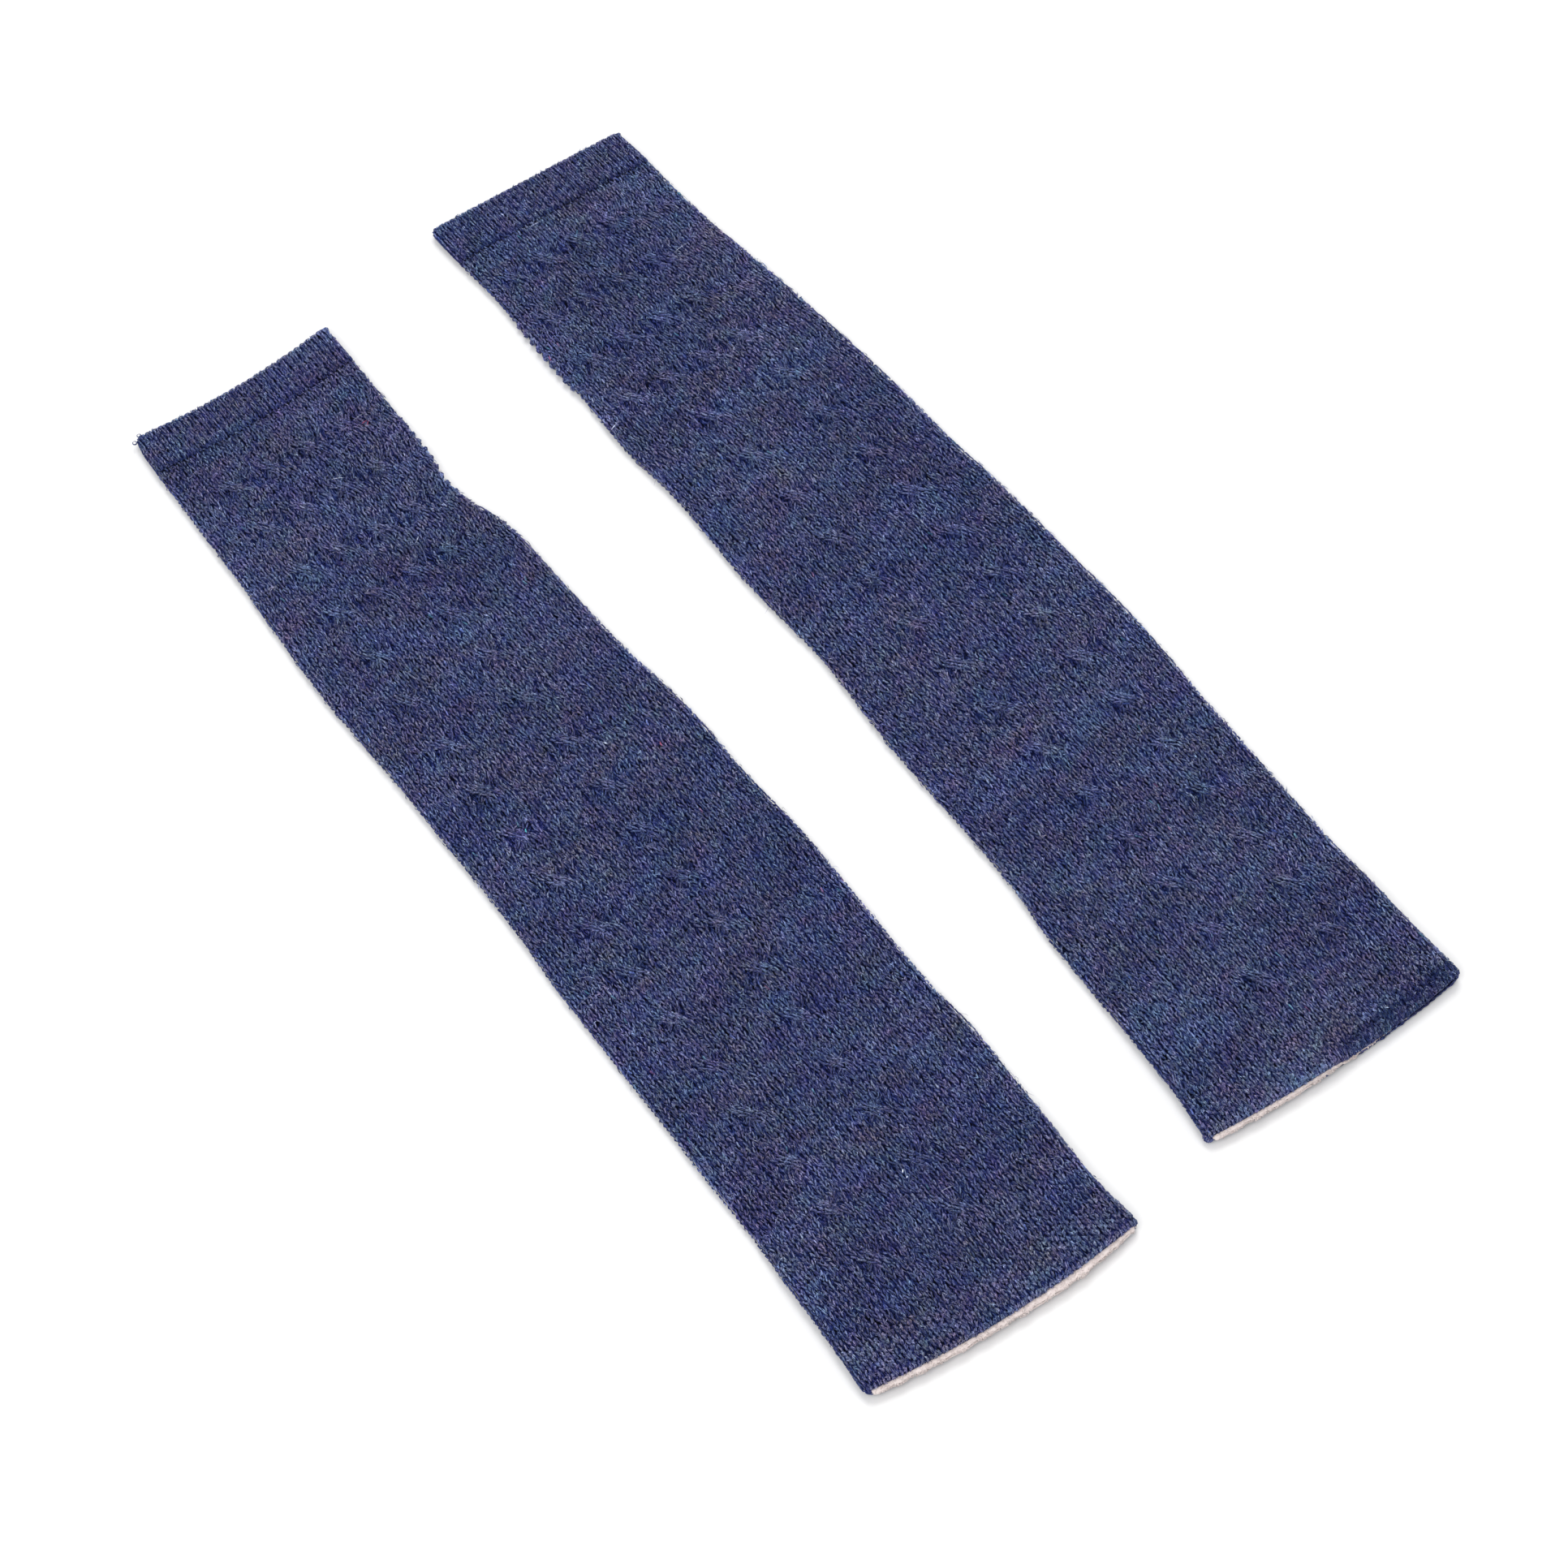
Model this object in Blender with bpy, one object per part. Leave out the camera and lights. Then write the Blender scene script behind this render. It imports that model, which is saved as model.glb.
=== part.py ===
# A pair of long fingerless mitts in blue wool, lying flat side by side
# Their length runs along Y, with the hand ends at +Y, and their undersides lie at Z = 0
from collections import namedtuple
from math import asin, cos, exp, hypot, pi, radians, sin

import bmesh
import bpy
from mathutils import Vector

# Sizes are in millimetres, and SCALE turns them into metres
SCALE = 0.001
LENGTH = 380.0
SEAM_GAP = 0.3

# Thickness of each layer, and the hollow between the two layers that lie on each other
BODY_WALL = 1.8
HAND_BAND_WALL = 2.1
ELBOW_BAND_WALL = 1.8
LINING_WALL = 1.0
HOLLOW = 0.6
LINING_HOLLOW = 0.4
LINED_HOLLOW = 2 * (LINING_WALL + SEAM_GAP) + LINING_HOLLOW

# Where the pieces meet, measured from the hand end
HAND_BAND_END = 14.2
ELBOW_BAND_START = 367.4
LINING_START = 350.0
LINING_SHOWS = 1.3
# The cloth rises over the lining between these two places
SWELL_START = 322.0
SWELL_END = 347.0

# The fold along each side, and how much lower the cloth lies there than in the middle
FOLD_RADIUS = 2.6
FOLD_ANGLE = 48.0
CROWN_DROP = 0.4
MARGIN_COLUMNS = 3

# The ends lean and bow within this distance of the openings
END_REACH = 60.0
# The turned edge of each band is rounded over this length, and gets this much thinner and narrower
EDGE_ROLL_LENGTH = 2.0
EDGE_ROLL = 0.7

# The plain inside keeps every fifth row, and a flat panel of the underside spans six rows
HOLLOW_ROW_STEP = 5
UNDERSIDE_ROW_STEP = 6

# Cable crossings: a short strand over its neighbour, leaning down to the right
CABLE_COUNT = 4
SHORT_CABLE_ROWS = 4
CROSSING_ROWS = 18
CROSSING_HEIGHT = 0.95
CROSSING_HALF_WIDTH = 1.8
CROSSING_HALF_LENGTH = 7.5
CROSSING_LEAN = 1.2
PIT_DEPTH = 0.3
PIT_RADIUS = 2.2
ROPE_HEIGHT = 0.25
# Points across a cable and along a crossing, measured from its middle
CABLE_OFFSETS = (-4.0, -1.3, 1.3, 4.0)
CROSSING_STEPS = (-5.4, -1.8, 1.8, 5.4)

# The thumb slit gapes a little in its middle
THUMB_GAPE = 0.9

# Along is the distance from the hand end, and left and right are the outline's distances from the axis
Section = namedtuple("Section", "along left right")
# First is where the leftmost cable runs, and spacing is the step to the next cable
CableTrack = namedtuple("CableTrack", "along first spacing")
# How far an opening's edge runs past the nominal end
EndEdge = namedtuple("EndEdge", "left middle right")
# Side is -1 for the left fold and 1 for the right fold
Thumb = namedtuple("Thumb", "side start end")
Slit = namedtuple("Slit", "rows face")
Mitt = namedtuple(
    "Mitt", "name place turn sections hand_edge elbow_edge cables long_cables first_crossing pitch thumb"
)

LEFT_MITT = Mitt(
    name="left_mitt",
    place=(-58.8, -5.1),
    turn=-0.64,
    sections=(
        Section(0, -34.2, 34.2),
        Section(9, -35.2, 34.4),
        Section(38, -36.2, 34.0),
        Section(56, -36.8, 33.4),
        Section(65, -37.1, 32.3),
        Section(75, -37.8, 33.8),
        Section(85, -38.3, 37.2),
        Section(95, -38.9, 38.7),
        Section(115, -39.4, 39.4),
        Section(142, -38.7, 40.7),
        Section(171, -38.7, 43.8),
        Section(200, -38.9, 44.3),
        Section(226, -40.3, 45.8),
        Section(256, -41.0, 45.5),
        Section(284, -41.4, 45.3),
        Section(304, -41.8, 46.6),
        Section(322, -41.9, 46.1),
        Section(340, -43.0, 45.3),
        Section(361, -44.0, 44.4),
        Section(380, -45.5, 46.0),
    ),
    hand_edge=EndEdge(-1.1, -2.9, 1.0),
    elbow_edge=EndEdge(0.2, 3.7, 0.4),
    cables=(
        CableTrack(0, -20.0, 13.0),
        CableTrack(90, -20.0, 13.2),
        CableTrack(182, -20.2, 14.8),
        CableTrack(290, -20.0, 14.3),
        CableTrack(380, -20.5, 14.0),
    ),
    long_cables=(0, 2),
    first_crossing=32.7,
    pitch=18.55,
    thumb=Thumb(1, 38, 73),
)

RIGHT_MITT = Mitt(
    name="right_mitt",
    place=(58.8, 5.1),
    turn=0.64,
    sections=(
        Section(0, -34.8, 32.8),
        Section(14, -34.4, 33.8),
        Section(30, -33.4, 34.2),
        Section(48, -34.3, 35.7),
        Section(67, -34.7, 38.0),
        Section(76, -34.1, 39.0),
        Section(95, -35.2, 40.7),
        Section(122, -33.8, 42.8),
        Section(152, -34.9, 43.9),
        Section(171, -34.6, 45.4),
        Section(190, -33.8, 46.0),
        Section(208, -35.0, 46.5),
        Section(228, -36.4, 47.2),
        Section(250, -36.7, 46.7),
        Section(266, -36.9, 45.6),
        Section(285, -37.7, 45.2),
        Section(304, -40.0, 44.6),
        Section(340, -41.8, 43.8),
        Section(363, -43.3, 43.9),
        Section(380, -45.7, 44.6),
    ),
    hand_edge=EndEdge(1.9, 0.3, -0.9),
    elbow_edge=EndEdge(1.1, 3.9, 1.2),
    cables=(
        CableTrack(0, -25.8, 12.0),
        CableTrack(28, -25.0, 12.2),
        CableTrack(84, -22.8, 13.2),
        CableTrack(141, -19.7, 13.7),
        CableTrack(197, -20.4, 15.2),
        CableTrack(253, -16.3, 14.3),
        CableTrack(310, -14.7, 13.3),
        CableTrack(380, -17.0, 13.0),
    ),
    long_cables=(1, 3),
    first_crossing=28.5,
    pitch=18.8,
    thumb=Thumb(-1, 41, 73),
)


def read_table(table, column, along):
    """Smooth value of one named column at a distance from the hand end."""
    places = [row.along for row in table]
    values = [getattr(row, column) for row in table]
    along = min(max(along, places[0]), places[-1])
    i = max(k for k in range(len(places) - 1) if places[k] <= along)
    slopes = []
    for k in (i, i + 1):
        low = max(k - 1, 0)
        high = min(k + 1, len(places) - 1)
        slopes.append((values[high] - values[low]) / (places[high] - places[low]))
    span = places[i + 1] - places[i]
    t = (along - places[i]) / span
    return (
        (1 + 2 * t) * (1 - t) ** 2 * values[i]
        + t * (1 - t) ** 2 * span * slopes[0]
        + t * t * (3 - 2 * t) * values[i + 1]
        + t * t * (t - 1) * span * slopes[1]
    )


def smooth_step(start, end, value):
    t = min(max((value - start) / (end - start), 0.0), 1.0)
    return t * t * (3 - 2 * t)


def hollow_height(along):
    """Gap between the two layers, which opens where the lining lies inside."""
    return HOLLOW + (LINED_HOLLOW - HOLLOW) * smooth_step(SWELL_START, SWELL_END, along)


def edge_run(edge, u):
    """How far an opening's edge runs past the nominal end, for u from -1 to 1 across."""
    return edge.middle * (1 - u * u) + edge.left * u * (u - 1) / 2 + edge.right * u * (u + 1) / 2


def place_point(mitt, along, across, height):
    """A point of the mitt in its own frame: across is +X, and the hand end is +Y."""
    left = read_table(mitt.sections, "left", along)
    right = read_table(mitt.sections, "right", along)
    u = (2 * across - left - right) / (right - left)
    u = min(max(u, -1.0), 1.0)
    hand = edge_run(mitt.hand_edge, u) * (1 - smooth_step(0, END_REACH, along))
    elbow = edge_run(mitt.elbow_edge, u) * smooth_step(LENGTH - END_REACH, LENGTH, along)
    return Vector((across, LENGTH / 2 - along + hand - elbow, height)) * SCALE


def crossing_relief(mitt, along, cable, offset):
    """Height that a cable adds at an offset from its middle line."""
    nearest = round((along - mitt.first_crossing) / mitt.pitch)
    nearest = min(max(nearest, 0), CROSSING_ROWS - 1)
    if nearest >= SHORT_CABLE_ROWS and cable not in mitt.long_cables:
        return 0.0
    down = along - mitt.first_crossing - nearest * mitt.pitch
    slant = hypot(1, CROSSING_LEAN)
    lengthwise = (offset + CROSSING_LEAN * down) / slant
    sideways = (CROSSING_LEAN * offset - down) / slant
    strand = exp(-((sideways / CROSSING_HALF_WIDTH) ** 2) - (lengthwise / CROSSING_HALF_LENGTH) ** 4)
    beside = (abs(sideways) - 2 * CROSSING_HALF_WIDTH) / PIT_RADIUS
    pits = exp(-(beside ** 2) - (lengthwise / PIT_RADIUS) ** 2)
    inside_cable = abs(offset) < CABLE_OFFSETS[-1]
    return CROSSING_HEIGHT * strand - PIT_DEPTH * pits + ROPE_HEIGHT * inside_cable


def face_columns(mitt, along, left, right, cabled):
    """Points across the upper face as (across, height that the cables add)."""
    first = read_table(mitt.cables, "first", along)
    spacing = read_table(mitt.cables, "spacing", along)
    columns = []
    for cable in range(CABLE_COUNT):
        for offset in CABLE_OFFSETS if cabled else (0.0,):
            relief = crossing_relief(mitt, along, cable, offset) if cabled else 0.0
            columns.append((first + cable * spacing + offset, relief))
    parts = [part / MARGIN_COLUMNS for part in range(MARGIN_COLUMNS)]
    left_margin = [(left + (columns[0][0] - left) * part, 0.0) for part in parts]
    right_margin = [(right + (columns[-1][0] - right) * part, 0.0) for part in reversed(parts)]
    return left_margin + columns + right_margin


def fold_points(centre, height, side):
    """Rounded side fold from the underside up to the upper face, with the hollow's height in its middle."""
    half = height / 2
    mid_angle = asin(HOLLOW / height)
    angles = (radians(-90), radians(-FOLD_ANGLE), -mid_angle, mid_angle, radians(FOLD_ANGLE))
    return [(centre + side * FOLD_RADIUS * cos(angle), half + half * sin(angle)) for angle in angles]


def outer_ring(mitt, along, wall, rolled, cabled):
    """Outer section as (across, height) points, clockwise from the left end of the underside."""
    inset = EDGE_ROLL if rolled else 0.0
    left = read_table(mitt.sections, "left", along) + inset + FOLD_RADIUS
    right = read_table(mitt.sections, "right", along) - inset - FOLD_RADIUS
    top = 2 * wall + hollow_height(along) - inset
    face = []
    for across, relief in face_columns(mitt, along, left, right, cabled):
        u = (2 * across - left - right) / (right - left)
        face.append((across, top - CROWN_DROP * u ** 4 + relief))
    fold_height = top - CROWN_DROP
    return fold_points(left, fold_height, -1) + face + fold_points(right, fold_height, 1)[::-1]


def hollow_ring(mitt, along, wall, margin=0.0):
    """Plain section of the hollow, clockwise from its lower left corner, shrunk by a margin."""
    left = read_table(mitt.sections, "left", along) + wall + margin
    right = read_table(mitt.sections, "right", along) - wall - margin
    middle = (left + right) / 2
    half = (right - left) / 2
    floor = wall + margin
    roof = wall + hollow_height(along) - margin
    roof_points = [(middle + half * u, roof) for u in (-1, -0.5, 0, 0.5, 1)]
    floor_points = [(middle + half * u, floor) for u in (1, 0.5, 0, -0.5)]
    return [(left, floor)] + roof_points + floor_points


def add_rings(bm, mitt, rows, ring_at):
    """Vertices of one ring for each row, from the points that ring_at gives there."""
    return [
        [bm.verts.new(place_point(mitt, along, across, height)) for across, height in ring_at(along)]
        for along in rows
    ]


def length_fractions(ring):
    """How far round a closed ring each of its corners lies, from 0 to 1."""
    lengths = [0.0]
    for corner, following in zip(ring, ring[1:] + ring[:1]):
        lengths.append(lengths[-1] + (following.co - corner.co).length)
    return [length / lengths[-1] for length in lengths]


def join_rings(bm, first, second):
    """Faces between two closed rings that may hold different numbers of points."""
    first_steps = length_fractions(first)
    second_steps = length_fractions(second)
    i = j = 0
    while i < len(first) or j < len(second):
        near = first[i % len(first)]
        far = second[j % len(second)]
        if j == len(second) or (i < len(first) and first_steps[i + 1] <= second_steps[j + 1]):
            i += 1
            bm.faces.new((near, first[i % len(first)], far))
        else:
            j += 1
            bm.faces.new((near, second[j % len(second)], far))


def skin_rings(bm, rings, slit=None, open_face=None):
    """Triangles along a tube of equal rings, each four-sided face split along the cables' lean."""
    for row, (upper, lower) in enumerate(zip(rings, rings[1:])):
        for i in range(len(upper)):
            in_slit = slit and i == slit.face and row in slit.rows[:-1]
            if in_slit or i == open_face:
                continue
            j = (i + 1) % len(upper)
            bm.faces.new((upper[i], upper[j], lower[j]))
            bm.faces.new((upper[i], lower[j], lower[i]))


def close_underside(bm, rings):
    """Flat panels between the first and last points of the outer rings."""
    for start in range(0, len(rings) - 1, UNDERSIDE_ROW_STEP):
        spanned = rings[start : start + UNDERSIDE_ROW_STEP + 1]
        bm.faces.new([ring[0] for ring in spanned] + [ring[-1] for ring in reversed(spanned)])


def open_slit(rings, rows, thumb, left_face, right_face):
    """The rows and the fold's face that the thumb slit takes out, once its upper edge is lifted."""
    face = left_face if thumb.side < 0 else right_face
    upper = face + 1 if thumb.side < 0 else face
    spanned = [i for i, along in enumerate(rows) if thumb.start <= along <= thumb.end]
    start = rows[spanned[0]]
    end = rows[spanned[-1]]
    for i in spanned:
        rings[i][upper].co.z += THUMB_GAPE * SCALE * sin(pi * (rows[i] - start) / (end - start))
    return Slit(spanned, face)


def rim_ring(rings, slit):
    """Closed ring of the points round the slit."""
    there = [rings[row][slit.face] for row in slit.rows]
    back = [rings[row][slit.face + 1] for row in reversed(slit.rows)]
    return there + back


def close_ends(bm, outer, inner):
    join_rings(bm, outer[0], inner[0])
    join_rings(bm, outer[-1], inner[-1])


def finish_object(bm, name, holder, material):
    bmesh.ops.recalc_face_normals(bm, faces=bm.faces)
    mesh = bpy.data.meshes.new(name)
    bm.to_mesh(mesh)
    bm.free()
    mesh.shade_smooth()
    mesh.set_sharp_from_angle(angle=radians(50))
    mesh.materials.append(material)
    obj = bpy.data.objects.new(name, mesh)
    obj.parent = holder
    bpy.context.scene.collection.objects.link(obj)


def body_rows(mitt):
    """Rows of the body: a few near each seam, and four at every crossing."""
    start = HAND_BAND_END + SEAM_GAP
    end = ELBOW_BAND_START - SEAM_GAP
    middles = [mitt.first_crossing + k * mitt.pitch for k in range(CROSSING_ROWS)]
    crossing = [middle + step for middle in middles for step in CROSSING_STEPS]
    before = [start + (crossing[0] - start) * part / 3 for part in (0, 1, 2)]
    after = [end + (crossing[-1] - end) * part / 3 for part in (2, 1, 0)]
    return before + crossing + after


def body_hollow_rows(mitt, rows):
    """Rows of the plain inside: a few of the body's, and all of them at the slit and over the lining."""
    kept = []
    for i, along in enumerate(rows):
        at_slit = mitt.thumb.start <= along <= mitt.thumb.end
        at_lining = along >= SWELL_START
        if i % HOLLOW_ROW_STEP == 0 or at_slit or at_lining:
            kept.append(along)
    return kept


def make_body(mitt, holder, material):
    """The long tube with its cables and its thumb slit."""
    rows = body_rows(mitt)
    hollow_rows = body_hollow_rows(mitt, rows)
    bm = bmesh.new()
    outer = add_rings(bm, mitt, rows, lambda along: outer_ring(mitt, along, BODY_WALL, False, True))
    inner = add_rings(bm, mitt, hollow_rows, lambda along: hollow_ring(mitt, along, BODY_WALL))
    underside = len(outer[0]) - 1
    # The slit is the middle face of the fold: third from the underside outside, and the hollow's side inside
    outer_slit = open_slit(outer, rows, mitt.thumb, 2, underside - 3)
    inner_slit = open_slit(inner, hollow_rows, mitt.thumb, 0, len(inner[0]) // 2)
    skin_rings(bm, outer, outer_slit, underside)
    skin_rings(bm, inner, inner_slit)
    close_underside(bm, outer)
    close_ends(bm, outer, inner)
    join_rings(bm, rim_ring(outer, outer_slit), rim_ring(inner, inner_slit))
    finish_object(bm, mitt.name + "_body", holder, material)


def make_band(mitt, part, holder, material, wall, rows, rolled_row):
    """A turned hem at one end, rounded at its outer edge."""
    bm = bmesh.new()
    outer = add_rings(bm, mitt, rows, lambda along: outer_ring(mitt, along, wall, along == rolled_row, False))
    inner = add_rings(bm, mitt, rows, lambda along: hollow_ring(mitt, along, wall))
    skin_rings(bm, outer, open_face=len(outer[0]) - 1)
    skin_rings(bm, inner)
    close_underside(bm, outer)
    close_ends(bm, outer, inner)
    finish_object(bm, mitt.name + part, holder, material)


def make_lining(mitt, holder, material):
    """A short tube inside the elbow opening, made from the hollow's own points."""
    middle = (LINING_START + ELBOW_BAND_START) / 2
    rows = (LINING_START, middle, ELBOW_BAND_START, LENGTH, LENGTH + LINING_SHOWS)
    bm = bmesh.new()
    outer = add_rings(bm, mitt, rows, lambda along: hollow_ring(mitt, along, ELBOW_BAND_WALL, SEAM_GAP))
    inner = add_rings(
        bm, mitt, rows, lambda along: hollow_ring(mitt, along, ELBOW_BAND_WALL, SEAM_GAP + LINING_WALL)
    )
    skin_rings(bm, outer)
    skin_rings(bm, inner)
    close_ends(bm, outer, inner)
    finish_object(bm, mitt.name + "_lining", holder, material)


def make_mitt(mitt, wool, cream):
    """One mitt, on an empty at its middle that turns it as it lies."""
    holder = bpy.data.objects.new(mitt.name + "_place", None)
    bpy.context.scene.collection.objects.link(holder)
    holder.location = Vector((*mitt.place, 0)) * SCALE
    holder.rotation_euler.z = radians(mitt.turn)
    hand_rows = (0.0, EDGE_ROLL_LENGTH, HAND_BAND_END / 2, HAND_BAND_END)
    elbow_rows = (ELBOW_BAND_START, (ELBOW_BAND_START + LENGTH) / 2, LENGTH - EDGE_ROLL_LENGTH, LENGTH)
    make_body(mitt, holder, wool)
    make_band(mitt, "_hand_band", holder, wool, HAND_BAND_WALL, hand_rows, 0.0)
    make_band(mitt, "_elbow_band", holder, wool, ELBOW_BAND_WALL, elbow_rows, LENGTH)
    make_lining(mitt, holder, cream)
    return holder


def centre_pair(holders):
    """Move both mitts so that the origin lies under the middle of the pair."""
    bpy.context.view_layer.update()
    points = [
        obj.matrix_world @ vertex.co
        for obj in bpy.context.scene.objects
        if obj.type == "MESH"
        for vertex in obj.data.vertices
    ]
    for axis in (0, 1):
        values = [point[axis] for point in points]
        middle = (min(values) + max(values)) / 2
        for holder in holders:
            holder.location[axis] -= middle
    bpy.context.view_layer.update()


def make_material(name, colour, roughness):
    material = bpy.data.materials.new(name)
    material.use_nodes = True
    shader = material.node_tree.nodes["Principled BSDF"]
    shader.inputs["Base Color"].default_value = (*colour, 1.0)
    shader.inputs["Roughness"].default_value = roughness
    material.diffuse_color = (*colour, 1.0)
    return material


for old in list(bpy.data.objects):
    bpy.data.objects.remove(old)
wool_material = make_material("blue_wool", (0.050, 0.060, 0.133), 0.95)
cream_material = make_material("cream_lining", (0.62, 0.54, 0.47), 0.95)
centre_pair([make_mitt(mitt, wool_material, cream_material) for mitt in (LEFT_MITT, RIGHT_MITT)])
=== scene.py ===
# A pair of long fingerless mitts in blue wool knit, lying flat side by side
# Their length runs along Y with the hand ends at +Y, and their undersides lie at Z = 0
from collections import namedtuple
from math import cos, hypot, pi, radians, sin

import bpy
import numpy as np
from mathutils import Matrix, Vector


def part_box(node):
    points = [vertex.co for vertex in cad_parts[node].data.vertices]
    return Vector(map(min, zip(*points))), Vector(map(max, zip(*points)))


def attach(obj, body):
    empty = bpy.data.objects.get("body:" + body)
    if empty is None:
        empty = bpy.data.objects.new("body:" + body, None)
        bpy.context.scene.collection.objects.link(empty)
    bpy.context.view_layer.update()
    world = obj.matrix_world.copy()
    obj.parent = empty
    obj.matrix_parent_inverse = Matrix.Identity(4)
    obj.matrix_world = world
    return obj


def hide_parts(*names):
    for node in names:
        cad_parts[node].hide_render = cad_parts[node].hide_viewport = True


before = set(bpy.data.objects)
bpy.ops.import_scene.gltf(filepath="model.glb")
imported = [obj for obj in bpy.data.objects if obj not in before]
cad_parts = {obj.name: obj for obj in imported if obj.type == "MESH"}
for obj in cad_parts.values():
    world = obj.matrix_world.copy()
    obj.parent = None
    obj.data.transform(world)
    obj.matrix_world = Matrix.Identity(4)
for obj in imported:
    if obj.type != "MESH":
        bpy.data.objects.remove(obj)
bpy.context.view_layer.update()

# The shape of the two mitts
# Each mitt is one knitted tube that lies flat, so an upper and an under layer turn into each other
# at two side folds. Its outline, thickness and cable tracks are read here at any place on the cloth.
# Sizes are in millimetres, along is the distance from the hand end and across is +X before the turn.
MM = 0.001
LENGTH = 380.0
CROWN_DROP = 0.4
FOLD_RADIUS = 2.6
LEAST_FOLD = 0.1
HOLLOW = 0.6
LINED_HOLLOW = 3.0
SWELL_START = 322.0
SWELL_END = 347.0
END_REACH = 60.0
EDGE_ROLL_LENGTH = 2.0
EDGE_ROLL = 0.7
CABLE_COUNT = 4
SHORT_CABLE_ROWS = 4
CROSSING_ROWS = 18
CROSSING_HEIGHT = 0.95
CROSSING_HALF_WIDTH = 1.8
CROSSING_HALF_LENGTH = 7.5
CROSSING_LEAN = 1.2
PIT_DEPTH = 0.5
PIT_OFFSET = 3.3
PIT_RADIUS = 1.9
# Powers by which the relief of the upper and under layer fades and the crown falls towards the folds
FACE_FADE = 8
UNDER_FADE = 6
CROWN_FALL = 4
ROPE_HEIGHT = 0.25
ROPE_HALF_WIDTH = 4.6
ROPE_FADE = 8.0
THUMB_GAPE = 0.9
ROLL_START = 375.9
ROLL_GROOVE = 0.7
ROLL_GROOVE_WIDTH = 0.7
ROLL_DROP = 1.5
ROLL_BLEND = 8.0

Section = namedtuple("Section", "along left right")
CableTrack = namedtuple("CableTrack", "along first spacing")
EndEdge = namedtuple("EndEdge", "left middle right")
Thumb = namedtuple("Thumb", "side start end")
# A soft ridge, or a trough where its height is negative, turned from the mitt's length in degrees
Crease = namedtuple("Crease", "along across length width height turn")
Mitt = namedtuple(
    "Mitt",
    "name turn sections hand_edge elbow_edge cables long_cables first_crossing pitch thumb"
    " creases under_creases roll_start lining_edge seed",
)
# Skin is how deep the shell lies below the tube's outline, and wall sets how far apart its layers lie
Part = namedtuple("Part", "name start end wall skin thickness rolled_end cabled")


def rows_of(kind, *rows):
    """A table whose rows have named values."""
    return tuple(kind(*row) for row in rows)


BODY = Part("body", 14.5, 367.1, 1.8, 0.95, 0.6, None, True)
HAND_BAND = Part("hand_band", 0.0, 14.2, 2.1, 0.8, 1.05, 0.0, False)
ELBOW_BAND = Part("elbow_band", 367.4, 380.0, 1.8, 0.85, 0.7, 380.0, False)
LINING = Part("lining", 350.0, 381.3, 1.8, 2.1, 1.0, 381.3, False)

LEFT_MITT = Mitt(
    name="left_mitt",
    turn=-0.64,
    sections=rows_of(
        Section,
        (0, -34.2, 34.2), (9, -35.2, 34.4), (38, -36.2, 34.0), (56, -36.8, 33.4), (65, -37.1, 32.3),
        (75, -37.8, 33.8), (85, -38.3, 37.2), (95, -38.9, 38.7), (115, -39.4, 39.4),
        (142, -38.7, 40.7), (171, -38.7, 43.8), (200, -38.9, 44.3), (226, -40.3, 45.8),
        (256, -41.0, 45.5), (284, -41.4, 45.3), (304, -41.8, 46.6), (322, -41.9, 46.1),
        (340, -43.0, 45.3), (361, -44.0, 44.4), (380, -45.5, 46.0),
    ),
    hand_edge=EndEdge(-1.1, -2.9, 1.0),
    elbow_edge=EndEdge(0.2, 3.7, 0.4),
    cables=rows_of(
        CableTrack,
        (0, -20.0, 13.0), (90, -20.0, 13.2), (182, -20.2, 14.8), (290, -20.0, 14.3),
        (380, -20.5, 14.0),
    ),
    long_cables=(0, 2),
    first_crossing=32.7,
    pitch=18.55,
    thumb=Thumb(1, 38, 73),
    creases=rows_of(
        Crease,
        (68, 26.0, 16, 7, -0.45, 20), (97, 12.0, 24, 10, 0.30, 78), (150, -24.0, 30, 9, -0.30, 12),
        (208, 20.0, 34, 12, 0.28, -15), (262, -8.0, 22, 9, -0.26, 70), (322, 30.0, 26, 8, 0.34, -8),
        (352, 4.0, 30, 7, -0.30, 84),
    ),
    under_creases=rows_of(
        Crease,
        (84, 14.0, 20, 8, 0.35, 24), (176, -20.0, 28, 9, 0.30, 70), (252, 16.0, 24, 10, 0.35, -14),
        (330, -6.0, 30, 8, 0.30, 82),
    ),
    roll_start=None,
    lining_edge=(1.2, 1.2, 1.2, 1.9, 0.5),
    seed=41,
)

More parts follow.
